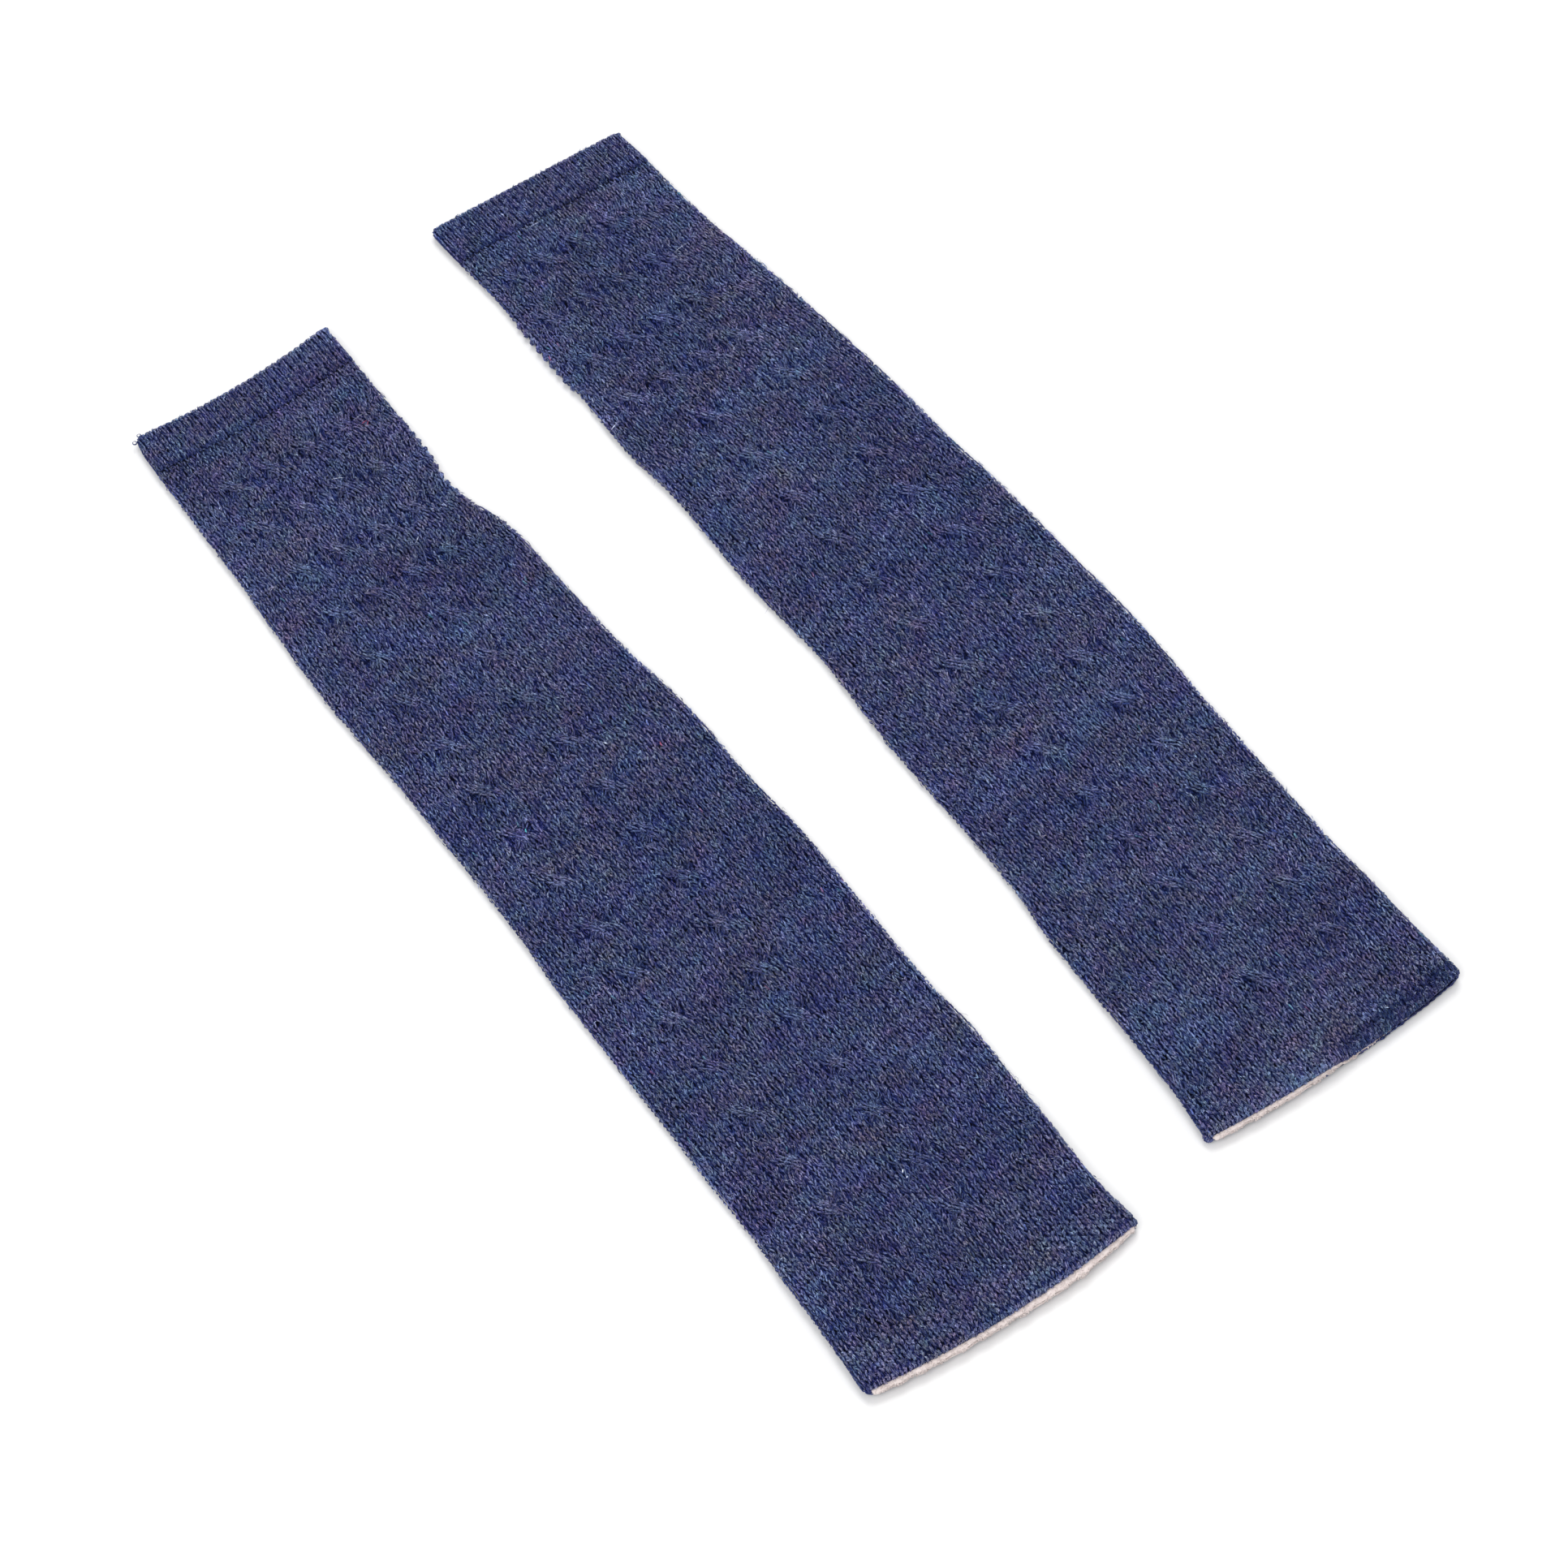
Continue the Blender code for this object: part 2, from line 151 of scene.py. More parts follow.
RIGHT_MITT = Mitt(
    name="right_mitt",
    turn=0.64,
    sections=rows_of(
        Section,
        (0, -34.8, 32.8), (14, -34.4, 33.8), (30, -33.4, 34.2), (48, -34.3, 35.7), (67, -34.7, 38.0),
        (76, -34.1, 39.0), (95, -35.2, 40.7), (122, -33.8, 42.8), (152, -34.9, 43.9),
        (171, -34.6, 45.4), (190, -33.8, 46.0), (208, -35.0, 46.5), (228, -36.4, 47.2),
        (250, -36.7, 46.7), (266, -36.9, 45.6), (285, -37.7, 45.2), (304, -40.0, 44.6),
        (340, -41.8, 43.8), (363, -43.3, 43.9), (380, -45.7, 44.6),
    ),
    hand_edge=EndEdge(1.9, 0.3, -0.9),
    elbow_edge=EndEdge(1.1, 3.9, 1.2),
    cables=rows_of(
        CableTrack,
        (0, -25.8, 12.0), (28, -25.0, 12.2), (84, -22.8, 13.2), (141, -19.7, 13.7), (197, -20.4, 15.2),
        (253, -16.3, 14.3), (310, -14.7, 13.3), (380, -17.0, 13.0),
    ),
    long_cables=(1, 3),
    first_crossing=28.5,
    pitch=18.8,
    thumb=Thumb(-1, 41, 73),
    creases=rows_of(
        Crease,
        (60, -22.0, 18, 8, -0.40, -18), (88, 10.0, 26, 9, 0.28, 74), (136, 26.0, 30, 9, -0.32, -10),
        (192, -16.0, 32, 11, 0.30, 14), (240, 12.0, 24, 9, -0.26, 78), (300, -26.0, 28, 9, 0.30, 10),
        (346, 18.0, 26, 8, -0.32, 80),
    ),
    under_creases=rows_of(
        Crease,
        (104, -12.0, 22, 9, 0.35, -20), (168, 22.0, 26, 8, 0.30, 12), (236, -10.0, 24, 10, 0.35, 74),
        (318, 10.0, 28, 9, 0.30, -84),
    ),
    roll_start=-4.0,
    lining_edge=(1.0, 0.9, 0.3, -0.7, -1.2),
    seed=42,
)
MITTS = (LEFT_MITT, RIGHT_MITT)
PLACE_ROWS = 200

# Shares and angles of the points round the tube: the slit's face lies between the fold's two middle points
UNDER_STEPS = np.linspace(0, 1, 9)[:-1]
FOLD_ANGLES = np.radians(np.linspace(-90, 90, 10))
FACE_STEPS = np.linspace(-1, 1, 37)[1:-1]
GAPE_SHARE = np.where(FOLD_ANGLES > 0, np.cos(FOLD_ANGLES) ** 2, 0)
TOP_START = len(UNDER_STEPS) + len(FOLD_ANGLES)
TOP_FACE = slice(TOP_START, TOP_START + len(FACE_STEPS))


def read_table(table, column, along):
    """Smooth values of one named column at distances from the hand end."""
    places = np.array([row.along for row in table], float)
    values = np.array([getattr(row, column) for row in table], float)
    before = np.maximum(np.arange(len(table)) - 1, 0)
    after = np.minimum(np.arange(len(table)) + 1, len(table) - 1)
    slopes = (values[after] - values[before]) / (places[after] - places[before])
    along = np.clip(along, places[0], places[-1])
    i = np.clip(np.searchsorted(places, along, side="right") - 1, 0, len(table) - 2)
    span = places[i + 1] - places[i]
    t = (along - places[i]) / span
    return (
        (1 + 2 * t) * (1 - t) ** 2 * values[i]
        + t * (1 - t) ** 2 * span * slopes[i]
        + t * t * (3 - 2 * t) * values[i + 1]
        + t * t * (t - 1) * span * slopes[i + 1]
    )


def side_edges(mitt, along):
    """Where the mitt's left and right sides lie."""
    return [read_table(mitt.sections, side, along) for side in ("left", "right")]


def share_across(mitt, along, across):
    """Places across as shares, from -1 at the mitt's left side to 1 at its right."""
    left, right = side_edges(mitt, along)
    return np.clip((2 * across - left - right) / (right - left), -1, 1)


def cable_columns(mitt, along):
    """The middle line of the first cable, and how far apart the cables lie."""
    return [read_table(mitt.cables, value, along) for value in ("first", "spacing")]


def smooth_step(start, end, value):
    t = np.clip((value - start) / (end - start), 0, 1)
    return t * t * (3 - 2 * t)


def hollow_height(along):
    """Gap between the two layers, which opens where the lining lies inside."""
    return HOLLOW + (LINED_HOLLOW - HOLLOW) * smooth_step(SWELL_START, SWELL_END, along)


def edge_run(edge, u):
    """How far an opening's edge runs past the nominal end, for u from -1 to 1 across."""
    return edge.middle * (1 - u * u) + edge.left * u * (u - 1) / 2 + edge.right * u * (u + 1) / 2


def edge_roll(part, along):
    """How far a band's surface turns in near its outer edge."""
    if part.rolled_end is None:
        return 0 * along
    near = np.clip(1 - np.abs(along - part.rolled_end) / EDGE_ROLL_LENGTH, 0, 1)
    return EDGE_ROLL * (1 - np.sqrt(1 - near ** 2))


def nearest_crossing(mitt, along):
    """Number of the nearest row of crossings, and how far beyond its middle a place lies."""
    row = np.clip(np.round((along - mitt.first_crossing) / mitt.pitch), 0, CROSSING_ROWS - 1)
    return row, along - mitt.first_crossing - row * mitt.pitch


def is_cabled(mitt, row, cable):
    """Whether a cable has a crossing in a row: two cables end after the first rows."""
    inside = (cable >= 0) & (cable < CABLE_COUNT)
    return inside & ((row < SHORT_CABLE_ROWS) | np.isin(cable, mitt.long_cables))


def crease_relief(creases, along, across):
    relief = 0 * (along + across)
    for crease in creases:
        angle = radians(crease.turn)
        down = along - crease.along
        aside = across - crease.across
        lengthwise = (down * cos(angle) + aside * sin(angle)) / crease.length
        sideways = (aside * cos(angle) - down * sin(angle)) / crease.width
        relief = relief + crease.height * np.exp(-(lengthwise ** 2) - sideways ** 2)
    return relief


def cable_forms(mitt, along, across):
    """Shares from 0 to 1 of a crossing's upper strand, the pits beside it, and its whole cable's rope."""
    first, spacing = cable_columns(mitt, along)
    cable = np.clip(np.round((across - first) / spacing), 0, CABLE_COUNT - 1)
    offset = across - first - cable * spacing
    row, down = nearest_crossing(mitt, along)
    slant = hypot(1, CROSSING_LEAN)
    lengthwise = (offset + CROSSING_LEAN * down) / slant
    sideways = (CROSSING_LEAN * offset - down) / slant
    strand = np.exp(
        -((sideways / CROSSING_HALF_WIDTH) ** 2) - (lengthwise / CROSSING_HALF_LENGTH) ** 4
    )
    beside = (np.abs(sideways) - PIT_OFFSET) / PIT_RADIUS
    pits = np.exp(-(beside ** 2) - (lengthwise / PIT_RADIUS) ** 2)
    rope = np.exp(-((offset / ROPE_HALF_WIDTH) ** 4))
    there = is_cabled(mitt, row, cable) * smooth_step(BODY.end, BODY.end - ROPE_FADE, along)
    return strand * there, pits * there, rope * there


def cable_relief(mitt, along, across):
    """Height that the cables add to the upper layer, where a strand leans down to the right."""
    strand, pits, rope = cable_forms(mitt, along, across)
    return CROSSING_HEIGHT * strand - PIT_DEPTH * pits + ROPE_HEIGHT * rope


def roll_share(mitt, across):
    """Where across the elbow edge turns down, from 0 to 1: only on the right mitt, towards its right."""
    if mitt.roll_start is None:
        return 0 * across
    return smooth_step(mitt.roll_start, mitt.roll_start + ROLL_BLEND, across)


def elbow_roll(mitt, along, across):
    """Drop of the upper layer where the elbow edge turns down along a groove."""
    groove = ROLL_GROOVE * np.exp(-(((along - ROLL_START) / ROLL_GROOVE_WIDTH) ** 2))
    return roll_share(mitt, across) * (groove + ROLL_DROP * smooth_step(ROLL_START, LENGTH, along))


def tube_outline(mitt, part, along, inset):
    """Outline of the tube at each place along it, as a row of across and a row of height.
    It runs from the middle of the underside round the left fold, over the top and back underneath."""
    along = np.reshape(along, (-1, 1)).astype(float)
    depth = inset + edge_roll(part, along)
    reach = np.maximum(FOLD_RADIUS, depth + LEAST_FOLD)
    left_side, right_side = side_edges(mitt, along)
    left, right = left_side + reach, right_side - reach
    middle = (left + right) / 2
    half = (right - left) / 2
    fold_middle = part.wall + (hollow_height(along) - CROWN_DROP) / 2
    fold_half = np.maximum(fold_middle - depth, LEAST_FOLD)
    face = middle + half * FACE_STEPS
    flat_share = 1 - FACE_STEPS ** FACE_FADE
    relief = (crease_relief(mitt.creases, along, face) - elbow_roll(mitt, along, face)) * flat_share
    if part.cabled:
        relief = relief + cable_relief(mitt, along, face) * flat_share
    face_height = fold_middle + fold_half + CROWN_DROP * (1 - FACE_STEPS ** CROWN_FALL) + relief
    under = half * UNDER_STEPS
    under_left, under_right = (
        fold_middle - fold_half
        + crease_relief(mitt.under_creases, along, place) * (1 - UNDER_STEPS ** UNDER_FADE)
        for place in (middle - under, middle + under)
    )
    slit = np.clip((along - mitt.thumb.start) / (mitt.thumb.end - mitt.thumb.start), 0, 1)
    gape = THUMB_GAPE * np.sin(np.pi * slit) * GAPE_SHARE
    fold_width = (reach - depth) * np.cos(FOLD_ANGLES)
    fold_height = fold_middle + fold_half * np.sin(FOLD_ANGLES)
    left_height, right_height = (fold_height + gape * (mitt.thumb.side == side) for side in (-1, 1))
    across = [middle - under, left - fold_width, face, right + fold_width, middle + under]
    height = [under_left, left_height, face_height, right_height, under_right]
    return [np.hstack(run[:3] + [back[:, ::-1] for back in run[3:]]) for run in (across, height)]


def turn_points(mitt, across, lengthwise):
    """Places or directions turned as the mitt is."""
    turn_cos, turn_sin = cos(radians(mitt.turn)), sin(radians(mitt.turn))
    return across * turn_cos - lengthwise * turn_sin, across * turn_sin + lengthwise * turn_cos


def flat_points(mitt, along, across):
    """Places on the mitt as X and Y before the mitt is laid at its own place."""
    u = share_across(mitt, along, across)
    hand = edge_run(mitt.hand_edge, u) * (1 - smooth_step(0, END_REACH, along))
    elbow = edge_run(mitt.elbow_edge, u) * smooth_step(LENGTH - END_REACH, LENGTH, along)
    return turn_points(mitt, across, LENGTH / 2 - along + hand - elbow)


def find_place(mitt):
    """Where the mitt's middle lies in the frame, from the box of its body there."""
    low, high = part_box(mitt.name + "_body")
    rows = np.linspace(BODY.start, BODY.end, PLACE_ROWS)
    across = tube_outline(mitt, BODY, rows, 0)[0]
    x, y = flat_points(mitt, rows[:, None], across)
    return (
        (low.x + high.x) / 2 / MM - (x.min() + x.max()) / 2,
        (low.y + high.y) / 2 / MM - (y.min() + y.max()) / 2,
    )


PLACES = {mitt.name: find_place(mitt) for mitt in MITTS}


def lay_points(mitt, along, across, height):
    """Points in the frame, in metres, from places on the mitt in millimetres."""
    x, y = flat_points(mitt, along, across)
    place_x, place_y = PLACES[mitt.name]
    x, y, height = np.broadcast_arrays(x + place_x, y + place_y, height)
    return np.stack([x, y, height], axis=-1) * MM


# The wool
# The yarn is a heather of several blues with brown, violet and teal fibres, so each course changes colour
# as it runs across. One group gives that blend to every blue piece, and each material sets its own share.
# Patches are sizes in millimetres, and ranges lead from two values to the two that stand for them.
Stop = namedtuple("Stop", "place colour")
HEATHER_STOPS = (
    Stop(0.30, (0.048, 0.079, 0.187)),
    Stop(0.41, (0.053, 0.080, 0.189)),
    Stop(0.50, (0.062, 0.082, 0.175)),
    Stop(0.59, (0.072, 0.083, 0.169)),
    Stop(0.70, (0.084, 0.085, 0.143)),
)
# How much of its green the yarn keeps, from violet to teal, in patches of their own
GREEN_STOPS = (Stop(0.30, (1, 0.68, 1)), Stop(0.70, (0.82, 0.93, 0.86)))
# Flecks are the few stitches and fibres whose own shade is under this share, and these are shares of them
FLECK_SHARE = 0.010
FLECK_STOPS = (
    Stop(0.00, (0.32, 0.07, 0.12)),
    Stop(0.06, (0.04, 0.24, 0.26)),
    Stop(0.25, (0.05, 0.10, 0.42)),
    Stop(0.60, (0.32, 0.35, 0.45)),
)
# Darker yarn and painted shade turn to deep navy, lighter yarn and painted light to grey: both multiply the
# blend
DEEP_TINT = (0.40, 0.62, 1.38)
DEEP_RANGE = (1.3, 0.35, 0, 0.95)
PALE_TINT = (1.62, 1.58, 1.04)
PALE_RANGE = (1.0, 2.8, 0, 0.85)
# The blend's own patches, how far a stitch's shade moves it, and how much darker its brown end is
BLEND_PATCH = (16, 8, 12)
SHADE_RANGE = (0, 1, -0.04, 0.04)
BLEND_LIGHT_RANGE = (0.30, 0.70, 1.14, 0.86)
GREEN_PATCH = (10, 6, 8)
GREEN_TURN = 50
LIGHT_PATCH = (34, 20, 24)
PATCH_LIGHT_RANGE = (0.32, 0.68, 0.89, 1.12)
# Fine pale streaks in the yarn, which lie close to the wales on either side
STREAK = (0.32, 2.0, 0.32)
STREAK_TURNS = (-16, 12)
STREAK_RANGE = (0.44, 0.72, 0.42, 1.9)
# Shares of a material's lightness that pieces get for a light of 0 and 1
DARKEST, LIGHTEST = 0.4, 1.6
GRAIN_DEPTH = 0.2 * MM
WOOL_FINISH = {
    "Roughness": 0.9,
    "Specular IOR Level": 0.06,
    "Sheen Weight": 0.05,
    "Sheen Roughness": 0.45,
    "Sheen Tint": (0.72, 0.78, 1.0, 1),
}


def set_inputs(tree, node, inputs):
    """Link each input of a node to a socket, or set it to a value."""
    for key, value in inputs.items():
        if isinstance(value, bpy.types.NodeSocket):
            tree.links.new(value, node.inputs[key])
        else:
            node.inputs[key].default_value = value


def add_node(tree, kind, inputs=None, **settings):
    """A node with its settings, and with each input linked to a socket or set to a value."""
    node = tree.nodes.new(kind)
    for name, value in settings.items():
        setattr(node, name, value)
    set_inputs(tree, node, inputs or {})
    return node


def add_ramp(tree, value, stops, interpolation="LINEAR"):
    node = add_node(tree, "ShaderNodeValToRGB", {"Fac": value})
    ramp = node.color_ramp
    ramp.interpolation = interpolation
    while len(ramp.elements) < len(stops):
        ramp.elements.new(0.5)
    for element, stop in zip(ramp.elements, stops):
        element.position = stop.place
        element.color = (*stop.colour, 1)
    return node.outputs["Color"]


def mix_colours(tree, factor, first, second, blend_type="MIX"):
    """Colour sockets or values mixed by a factor."""
    inputs = {0: factor}
    for index, colour in ((6, first), (7, second)):
        inputs[index] = colour if isinstance(colour, bpy.types.NodeSocket) else (*colour, 1)
    return add_node(tree, "ShaderNodeMix", inputs, data_type="RGBA", blend_type=blend_type).outputs[2]


def scaled_noise(tree, place, period, detail=2.0, roughness=0.5, turn=0.0):
    """Noise from 0 to 1 whose patches are as large as the period, in millimetres along X, Y and Z."""
    scale = [size * MM for size in period]
    stretch = {"Vector": place, "Rotation": (0, 0, radians(turn)), "Scale": scale}
    mapping = add_node(tree, "ShaderNodeMapping", stretch, vector_type="TEXTURE")
    settings = {"Vector": mapping.outputs[0], "Scale": 1.0, "Detail": detail, "Roughness": roughness}
    return add_node(tree, "ShaderNodeTexNoise", settings).outputs["Fac"]


def combine(tree, operation, first, second):
    """A math node's result."""
    return add_node(tree, "ShaderNodeMath", {0: first, 1: second}, operation=operation).outputs[0]


def scale_vector(tree, vector, scale):
    """A vector or a colour times a number."""
    inputs = {0: vector, "Scale": scale}
    return add_node(tree, "ShaderNodeVectorMath", inputs, operation="SCALE").outputs[0]


def map_range(tree, value, low, high, to_low, to_high):
    inputs = {0: value, 1: low, 2: high, 3: to_low, 4: to_high}
    return add_node(tree, "ShaderNodeMapRange", inputs).outputs[0]


def object_place(tree):
    return tree.nodes.new("ShaderNodeTexCoord").outputs["Object"]


def make_heather_group():
    """Colour of the blended yarn, and a fine grain that bump can use."""
    tree = bpy.data.node_groups.new("Heather wool", "ShaderNodeTree")
    for label in ("Light", "Shade", "Contrast", "Pale", "Fleck"):
        tree.interface.new_socket(label, in_out="INPUT", socket_type="NodeSocketFloat")
    tree.interface.new_socket("Color", in_out="OUTPUT", socket_type="NodeSocketColor")
    tree.interface.new_socket("Grain", in_out="OUTPUT", socket_type="NodeSocketFloat")
    given = tree.nodes.new("NodeGroupInput").outputs
    place = object_place(tree)
    blend = scaled_noise(tree, place, BLEND_PATCH, 5.0, 0.8)
    blend = combine(tree, "ADD", blend, map_range(tree, given["Shade"], *SHADE_RANGE))
    colour = add_ramp(tree, blend, HEATHER_STOPS)
    green = scaled_noise(tree, place, GREEN_PATCH, 5.0, 0.8, GREEN_TURN)
    colour = mix_colours(tree, 1.0, colour, add_ramp(tree, green, GREEN_STOPS), "MULTIPLY")
    flecks = combine(tree, "DIVIDE", given["Shade"], FLECK_SHARE)
    flecks = add_ramp(tree, flecks, FLECK_STOPS, "CONSTANT")
    has_fleck = combine(tree, "LESS_THAN", given["Shade"], FLECK_SHARE)
    streaks = [scaled_noise(tree, place, STREAK, 1.0, 0.5, turn) for turn in STREAK_TURNS]
    grain = combine(tree, "MAXIMUM", *streaks)
    patches = map_range(tree, scaled_noise(tree, place, LIGHT_PATCH, 1.0), *PATCH_LIGHT_RANGE)
    patches = combine(tree, "MULTIPLY", patches, map_range(tree, blend, *BLEND_LIGHT_RANGE))
    streaky = combine(tree, "POWER", map_range(tree, grain, *STREAK_RANGE), given["Contrast"])
    lightness = combine(tree, "MULTIPLY", combine(tree, "MULTIPLY", streaky, given["Light"]), patches)
    deep = map_range(tree, lightness, *DEEP_RANGE)
    colour = mix_colours(tree, deep, colour, DEEP_TINT, "MULTIPLY")
    pale = combine(tree, "ADD", map_range(tree, lightness, *PALE_RANGE), given["Pale"])
    colour = mix_colours(tree, pale, colour, PALE_TINT, "MULTIPLY")
    colour = mix_colours(tree, combine(tree, "MULTIPLY", has_fleck, given["Fleck"]), colour, flecks)
    made = {"Color": scale_vector(tree, colour, lightness), "Grain": grain}
    add_node(tree, "NodeGroupOutput", made)
    return tree


HEATHER = make_heather_group()


def new_material(name, finish):
    """A material with its finish set on the shader's own sockets, its nodes and that shader."""
    material = bpy.data.materials.new(name)
    material.use_nodes = True
    tree = material.node_tree
    shader = tree.nodes["Principled BSDF"]
    set_inputs(tree, shader, finish)
    return material, tree, shader


def dress_shader(tree, shader, colour, strength, depth, height):
    """Give a shader its colour and its bump."""
    bump = {"Strength": strength, "Distance": depth, "Height": height}
    normal = add_node(tree, "ShaderNodeBump", bump).outputs[0]
    set_inputs(tree, shader, {"Base Color": colour, "Normal": normal})


def make_wool(name, lightness, contrast, pale, fleck, bump):
    """A wool material: lightness multiplies the blend, and the pieces' own light and shade vary it."""
    material, tree, shader = new_material(name, WOOL_FINISH)
    light, shade = (
        add_node(tree, "ShaderNodeAttribute", attribute_name=attribute).outputs["Fac"]
        for attribute in ("light", "shade")
    )
    light = map_range(tree, light, 0, 1, DARKEST * lightness, LIGHTEST * lightness)
    inputs = {"Light": light, "Shade": shade, "Contrast": contrast, "Pale": pale, "Fleck": fleck}
    blend = add_node(tree, "ShaderNodeGroup", inputs, node_tree=HEATHER).outputs
    dress_shader(tree, shader, blend["Color"], bump, GRAIN_DEPTH, blend["Grain"])
    return material


# The ground has the yarn's blend but is painted far darker than the stitches, as painted shade in the gaps
# between legs
PAINTED_SHADE_GROUND_WOOL = make_wool("wool ground", lightness=0.27, contrast=3.0, pale=0.0, fleck=0.0, bump=0.9)
STITCH_WOOL = make_wool("wool stitches", lightness=1.54, contrast=1.0, pale=0.0, fleck=0.25, bump=0.5)
HAIR_WOOL = make_wool("wool hair", lightness=2.1, contrast=1.0, pale=0.3, fleck=0.3, bump=0.0)
FLECK_WOOL = make_wool("wool flecks", lightness=2.4, contrast=1.0, pale=0.8, fleck=0.9, bump=0.0)

# The ground cloth
# Behind the stitches that show lies the cloth's own thickness: one tube for the body, a doubled hem at the
# hand and a plain hem at the elbow. The thumb slit is left open in the body's fold as it is knitted.
BODY_ROW_STEP = 2.8
BAND_ROW_STEP = 1.3
# Further rows where an edge rolls in, as distances from it
ROLL_ROWS = np.array([0.15, 0.5, 1.1])
# Light and shade of pieces that are the same all over
EVEN = 0.5
LEFT_SLIT_COLUMN = len(UNDER_STEPS) + len(FOLD_ANGLES) // 2 - 1
RIGHT_SLIT_COLUMN = LEFT_SLIT_COLUMN + len(FOLD_ANGLES) + len(FACE_STEPS)


def slit_column(mitt):
    """The face round the tube that the thumb slit leaves out."""
    return LEFT_SLIT_COLUMN if mitt.thumb.side < 0 else RIGHT_SLIT_COLUMN


def part_rows(part):
    step = BODY_ROW_STEP if part.cabled else BAND_ROW_STEP
    rows = np.linspace(part.start, part.end, round((part.end - part.start) / step) + 1)
    if part.rolled_end is not None:
        rolls = part.rolled_end + np.sign(rows.mean() - part.rolled_end) * ROLL_ROWS
        rows = np.sort(np.concatenate([rows, rolls]))
    return rows


def shell_faces(row_count, column_count, slit_rows, slit):
    """Four-sided faces of a closed shell: the outer points come first, then as many inner ones."""
    inner = row_count * column_count

    def outer_corner(row, column):
        return row * column_count + column % column_count

    def bridge(start, end):
        faces.append((start, end, end + inner, start + inner))

    faces = []
    for row in range(row_count - 1):
        for column in range(column_count):
            if column == slit and row in slit_rows:
                continue
            near, far = outer_corner(row, column), outer_corner(row + 1, column)
            near_next, far_next = outer_corner(row, column + 1), outer_corner(row + 1, column + 1)
            faces.append((near, far, far_next, near_next))
            faces.append((near + inner, near_next + inner, far_next + inner, far + inner))
    for column in range(column_count):
        bridge(outer_corner(0, column), outer_corner(0, column + 1))
        bridge(outer_corner(row_count - 1, column + 1), outer_corner(row_count - 1, column))
    for row in slit_rows:
        bridge(outer_corner(row, slit), outer_corner(row + 1, slit))
        bridge(outer_corner(row + 1, slit + 1), outer_corner(row, slit + 1))
    if len(slit_rows):
        first, last = slit_rows[0], slit_rows[-1] + 1
        bridge(outer_corner(first, slit + 1), outer_corner(first, slit))
        bridge(outer_corner(last, slit), outer_corner(last, slit + 1))
    return faces


def finish_piece(obj):
    """The piece rides on the one body."""
    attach(obj, "root")
    return obj


def add_object(name, data):
    obj = bpy.data.objects.new(name, data)
    bpy.context.scene.collection.objects.link(obj)
    return obj


def store(mesh, name, values, kind="FLOAT", field="value"):
    """Save one value of an attribute for each of a mesh's points."""
    mesh.attributes.new(name, kind, "POINT").data.foreach_set(field, values.astype(np.float32).ravel())


def make_shell(mitt, part, material, bend=None):
    """A thin closed shell on the tube's outline, with the thumb slit where the part has one."""
    rows = part_rows(part)
    layers = []
    for inset in (part.skin, part.skin + part.thickness):
        across, height = tube_outline(mitt, part, rows, inset)
        along = np.broadcast_to(rows[:, None], across.shape)
        if bend is not None:
            along = bend(mitt, along, across)
        layers.append(lay_points(mitt, along, across, height))
    slit_rows = range(0)
    if part is BODY:
        inside = np.flatnonzero((rows >= mitt.thumb.start) & (rows <= mitt.thumb.end))
        slit_rows = range(inside[0], inside[-1])
    faces = shell_faces(len(rows), layers[0].shape[1], slit_rows, slit_column(mitt))
    node = mitt.name + "_" + part.name
    mesh = bpy.data.meshes.new(node + "_ground")
    mesh.from_pydata(np.concatenate([layer.reshape(-1, 3) for layer in layers]), [], faces)
    mesh.shade_smooth()
    mesh.materials.append(material)
    for attribute in ("light", "shade"):
        store(mesh, attribute, np.full(len(mesh.vertices), EVEN))
    obj = finish_piece(add_object(node + "_cloth", mesh))
    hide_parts(node)
    return obj


GROUNDS = {
    (mitt.name, part.name): make_shell(mitt, part, PAINTED_SHADE_GROUND_WOOL)
    for mitt in MITTS
    for part in (BODY, HAND_BAND, ELBOW_BAND)
}

# The stitches
# Every stitch shows as two slanted legs of yarn, and they stand in columns that follow the cables. In a
# crossing two columns pass over the next two. Geometry Nodes set the legs on points and make one mesh.
WALES_PER_CABLE = 6
WALES = np.arange(-50, 70) + 0.5
COURSES_PER_CROSSING = 10
CROSSING_REACH = 4.2
CROSSING_SHIFT = 2.0
CABLE_HALF_WALES = 2.0
OVER_RAISE = 0.15
UNDER_DROP = 0.28
NEIGHBOUR_PULL = 0.33
# Towards the elbow the columns beside the cables fan out: by what share, and from where along
FAN = 0.12
FAN_START = 180.0
SEAM_OVERLAP = 1.2
# How much of their light stitches lose to painted shade in the pits beside a crossing, on the turned edge,
# at the folds and beside the grooves of the hand band and the turned edge
PIT_SHADE = 0.26
ROLL_SHADE = 0.36
FOLD_SHADE = 0.42
GROOVE_SHADE = 0.45
GROOVE_REACH = 0.8
# The roll's painted shade sets in from just before its start, and the fold's where cloth faces up less than
# this
ROLL_SHADE_BEFORE = 0.6
ROLL_SHADE_AFTER = 0.4
TOP_FACING = 0.6
# Spreads are in wales from the column's middle, reach and stagger are in courses, and unruly is how far
# the legs stray from their places in millimetres and from their directions in radians
Knit = namedtuple("Knit", "inset course hand_spread elbow_spread reach stagger width thickness unruly")
BODY_KNIT = Knit(0.45, None, 0.33, 0.11, 0.61, 0.21, 0.58, 0.74, 0.08)
HAND_KNIT = Knit(0.45, 1.5, 0.27, 0.12, 0.63, 0.24, 0.53, 0.68, 0.05)
ELBOW_KNIT = BODY_KNIT._replace(course=1.86, unruly=0.05)
EDGE_KNIT = Knit(0.30, 0.9, 0.31, 0.20, 0.78, 0.20, 0.60, 0.72, 0.06)
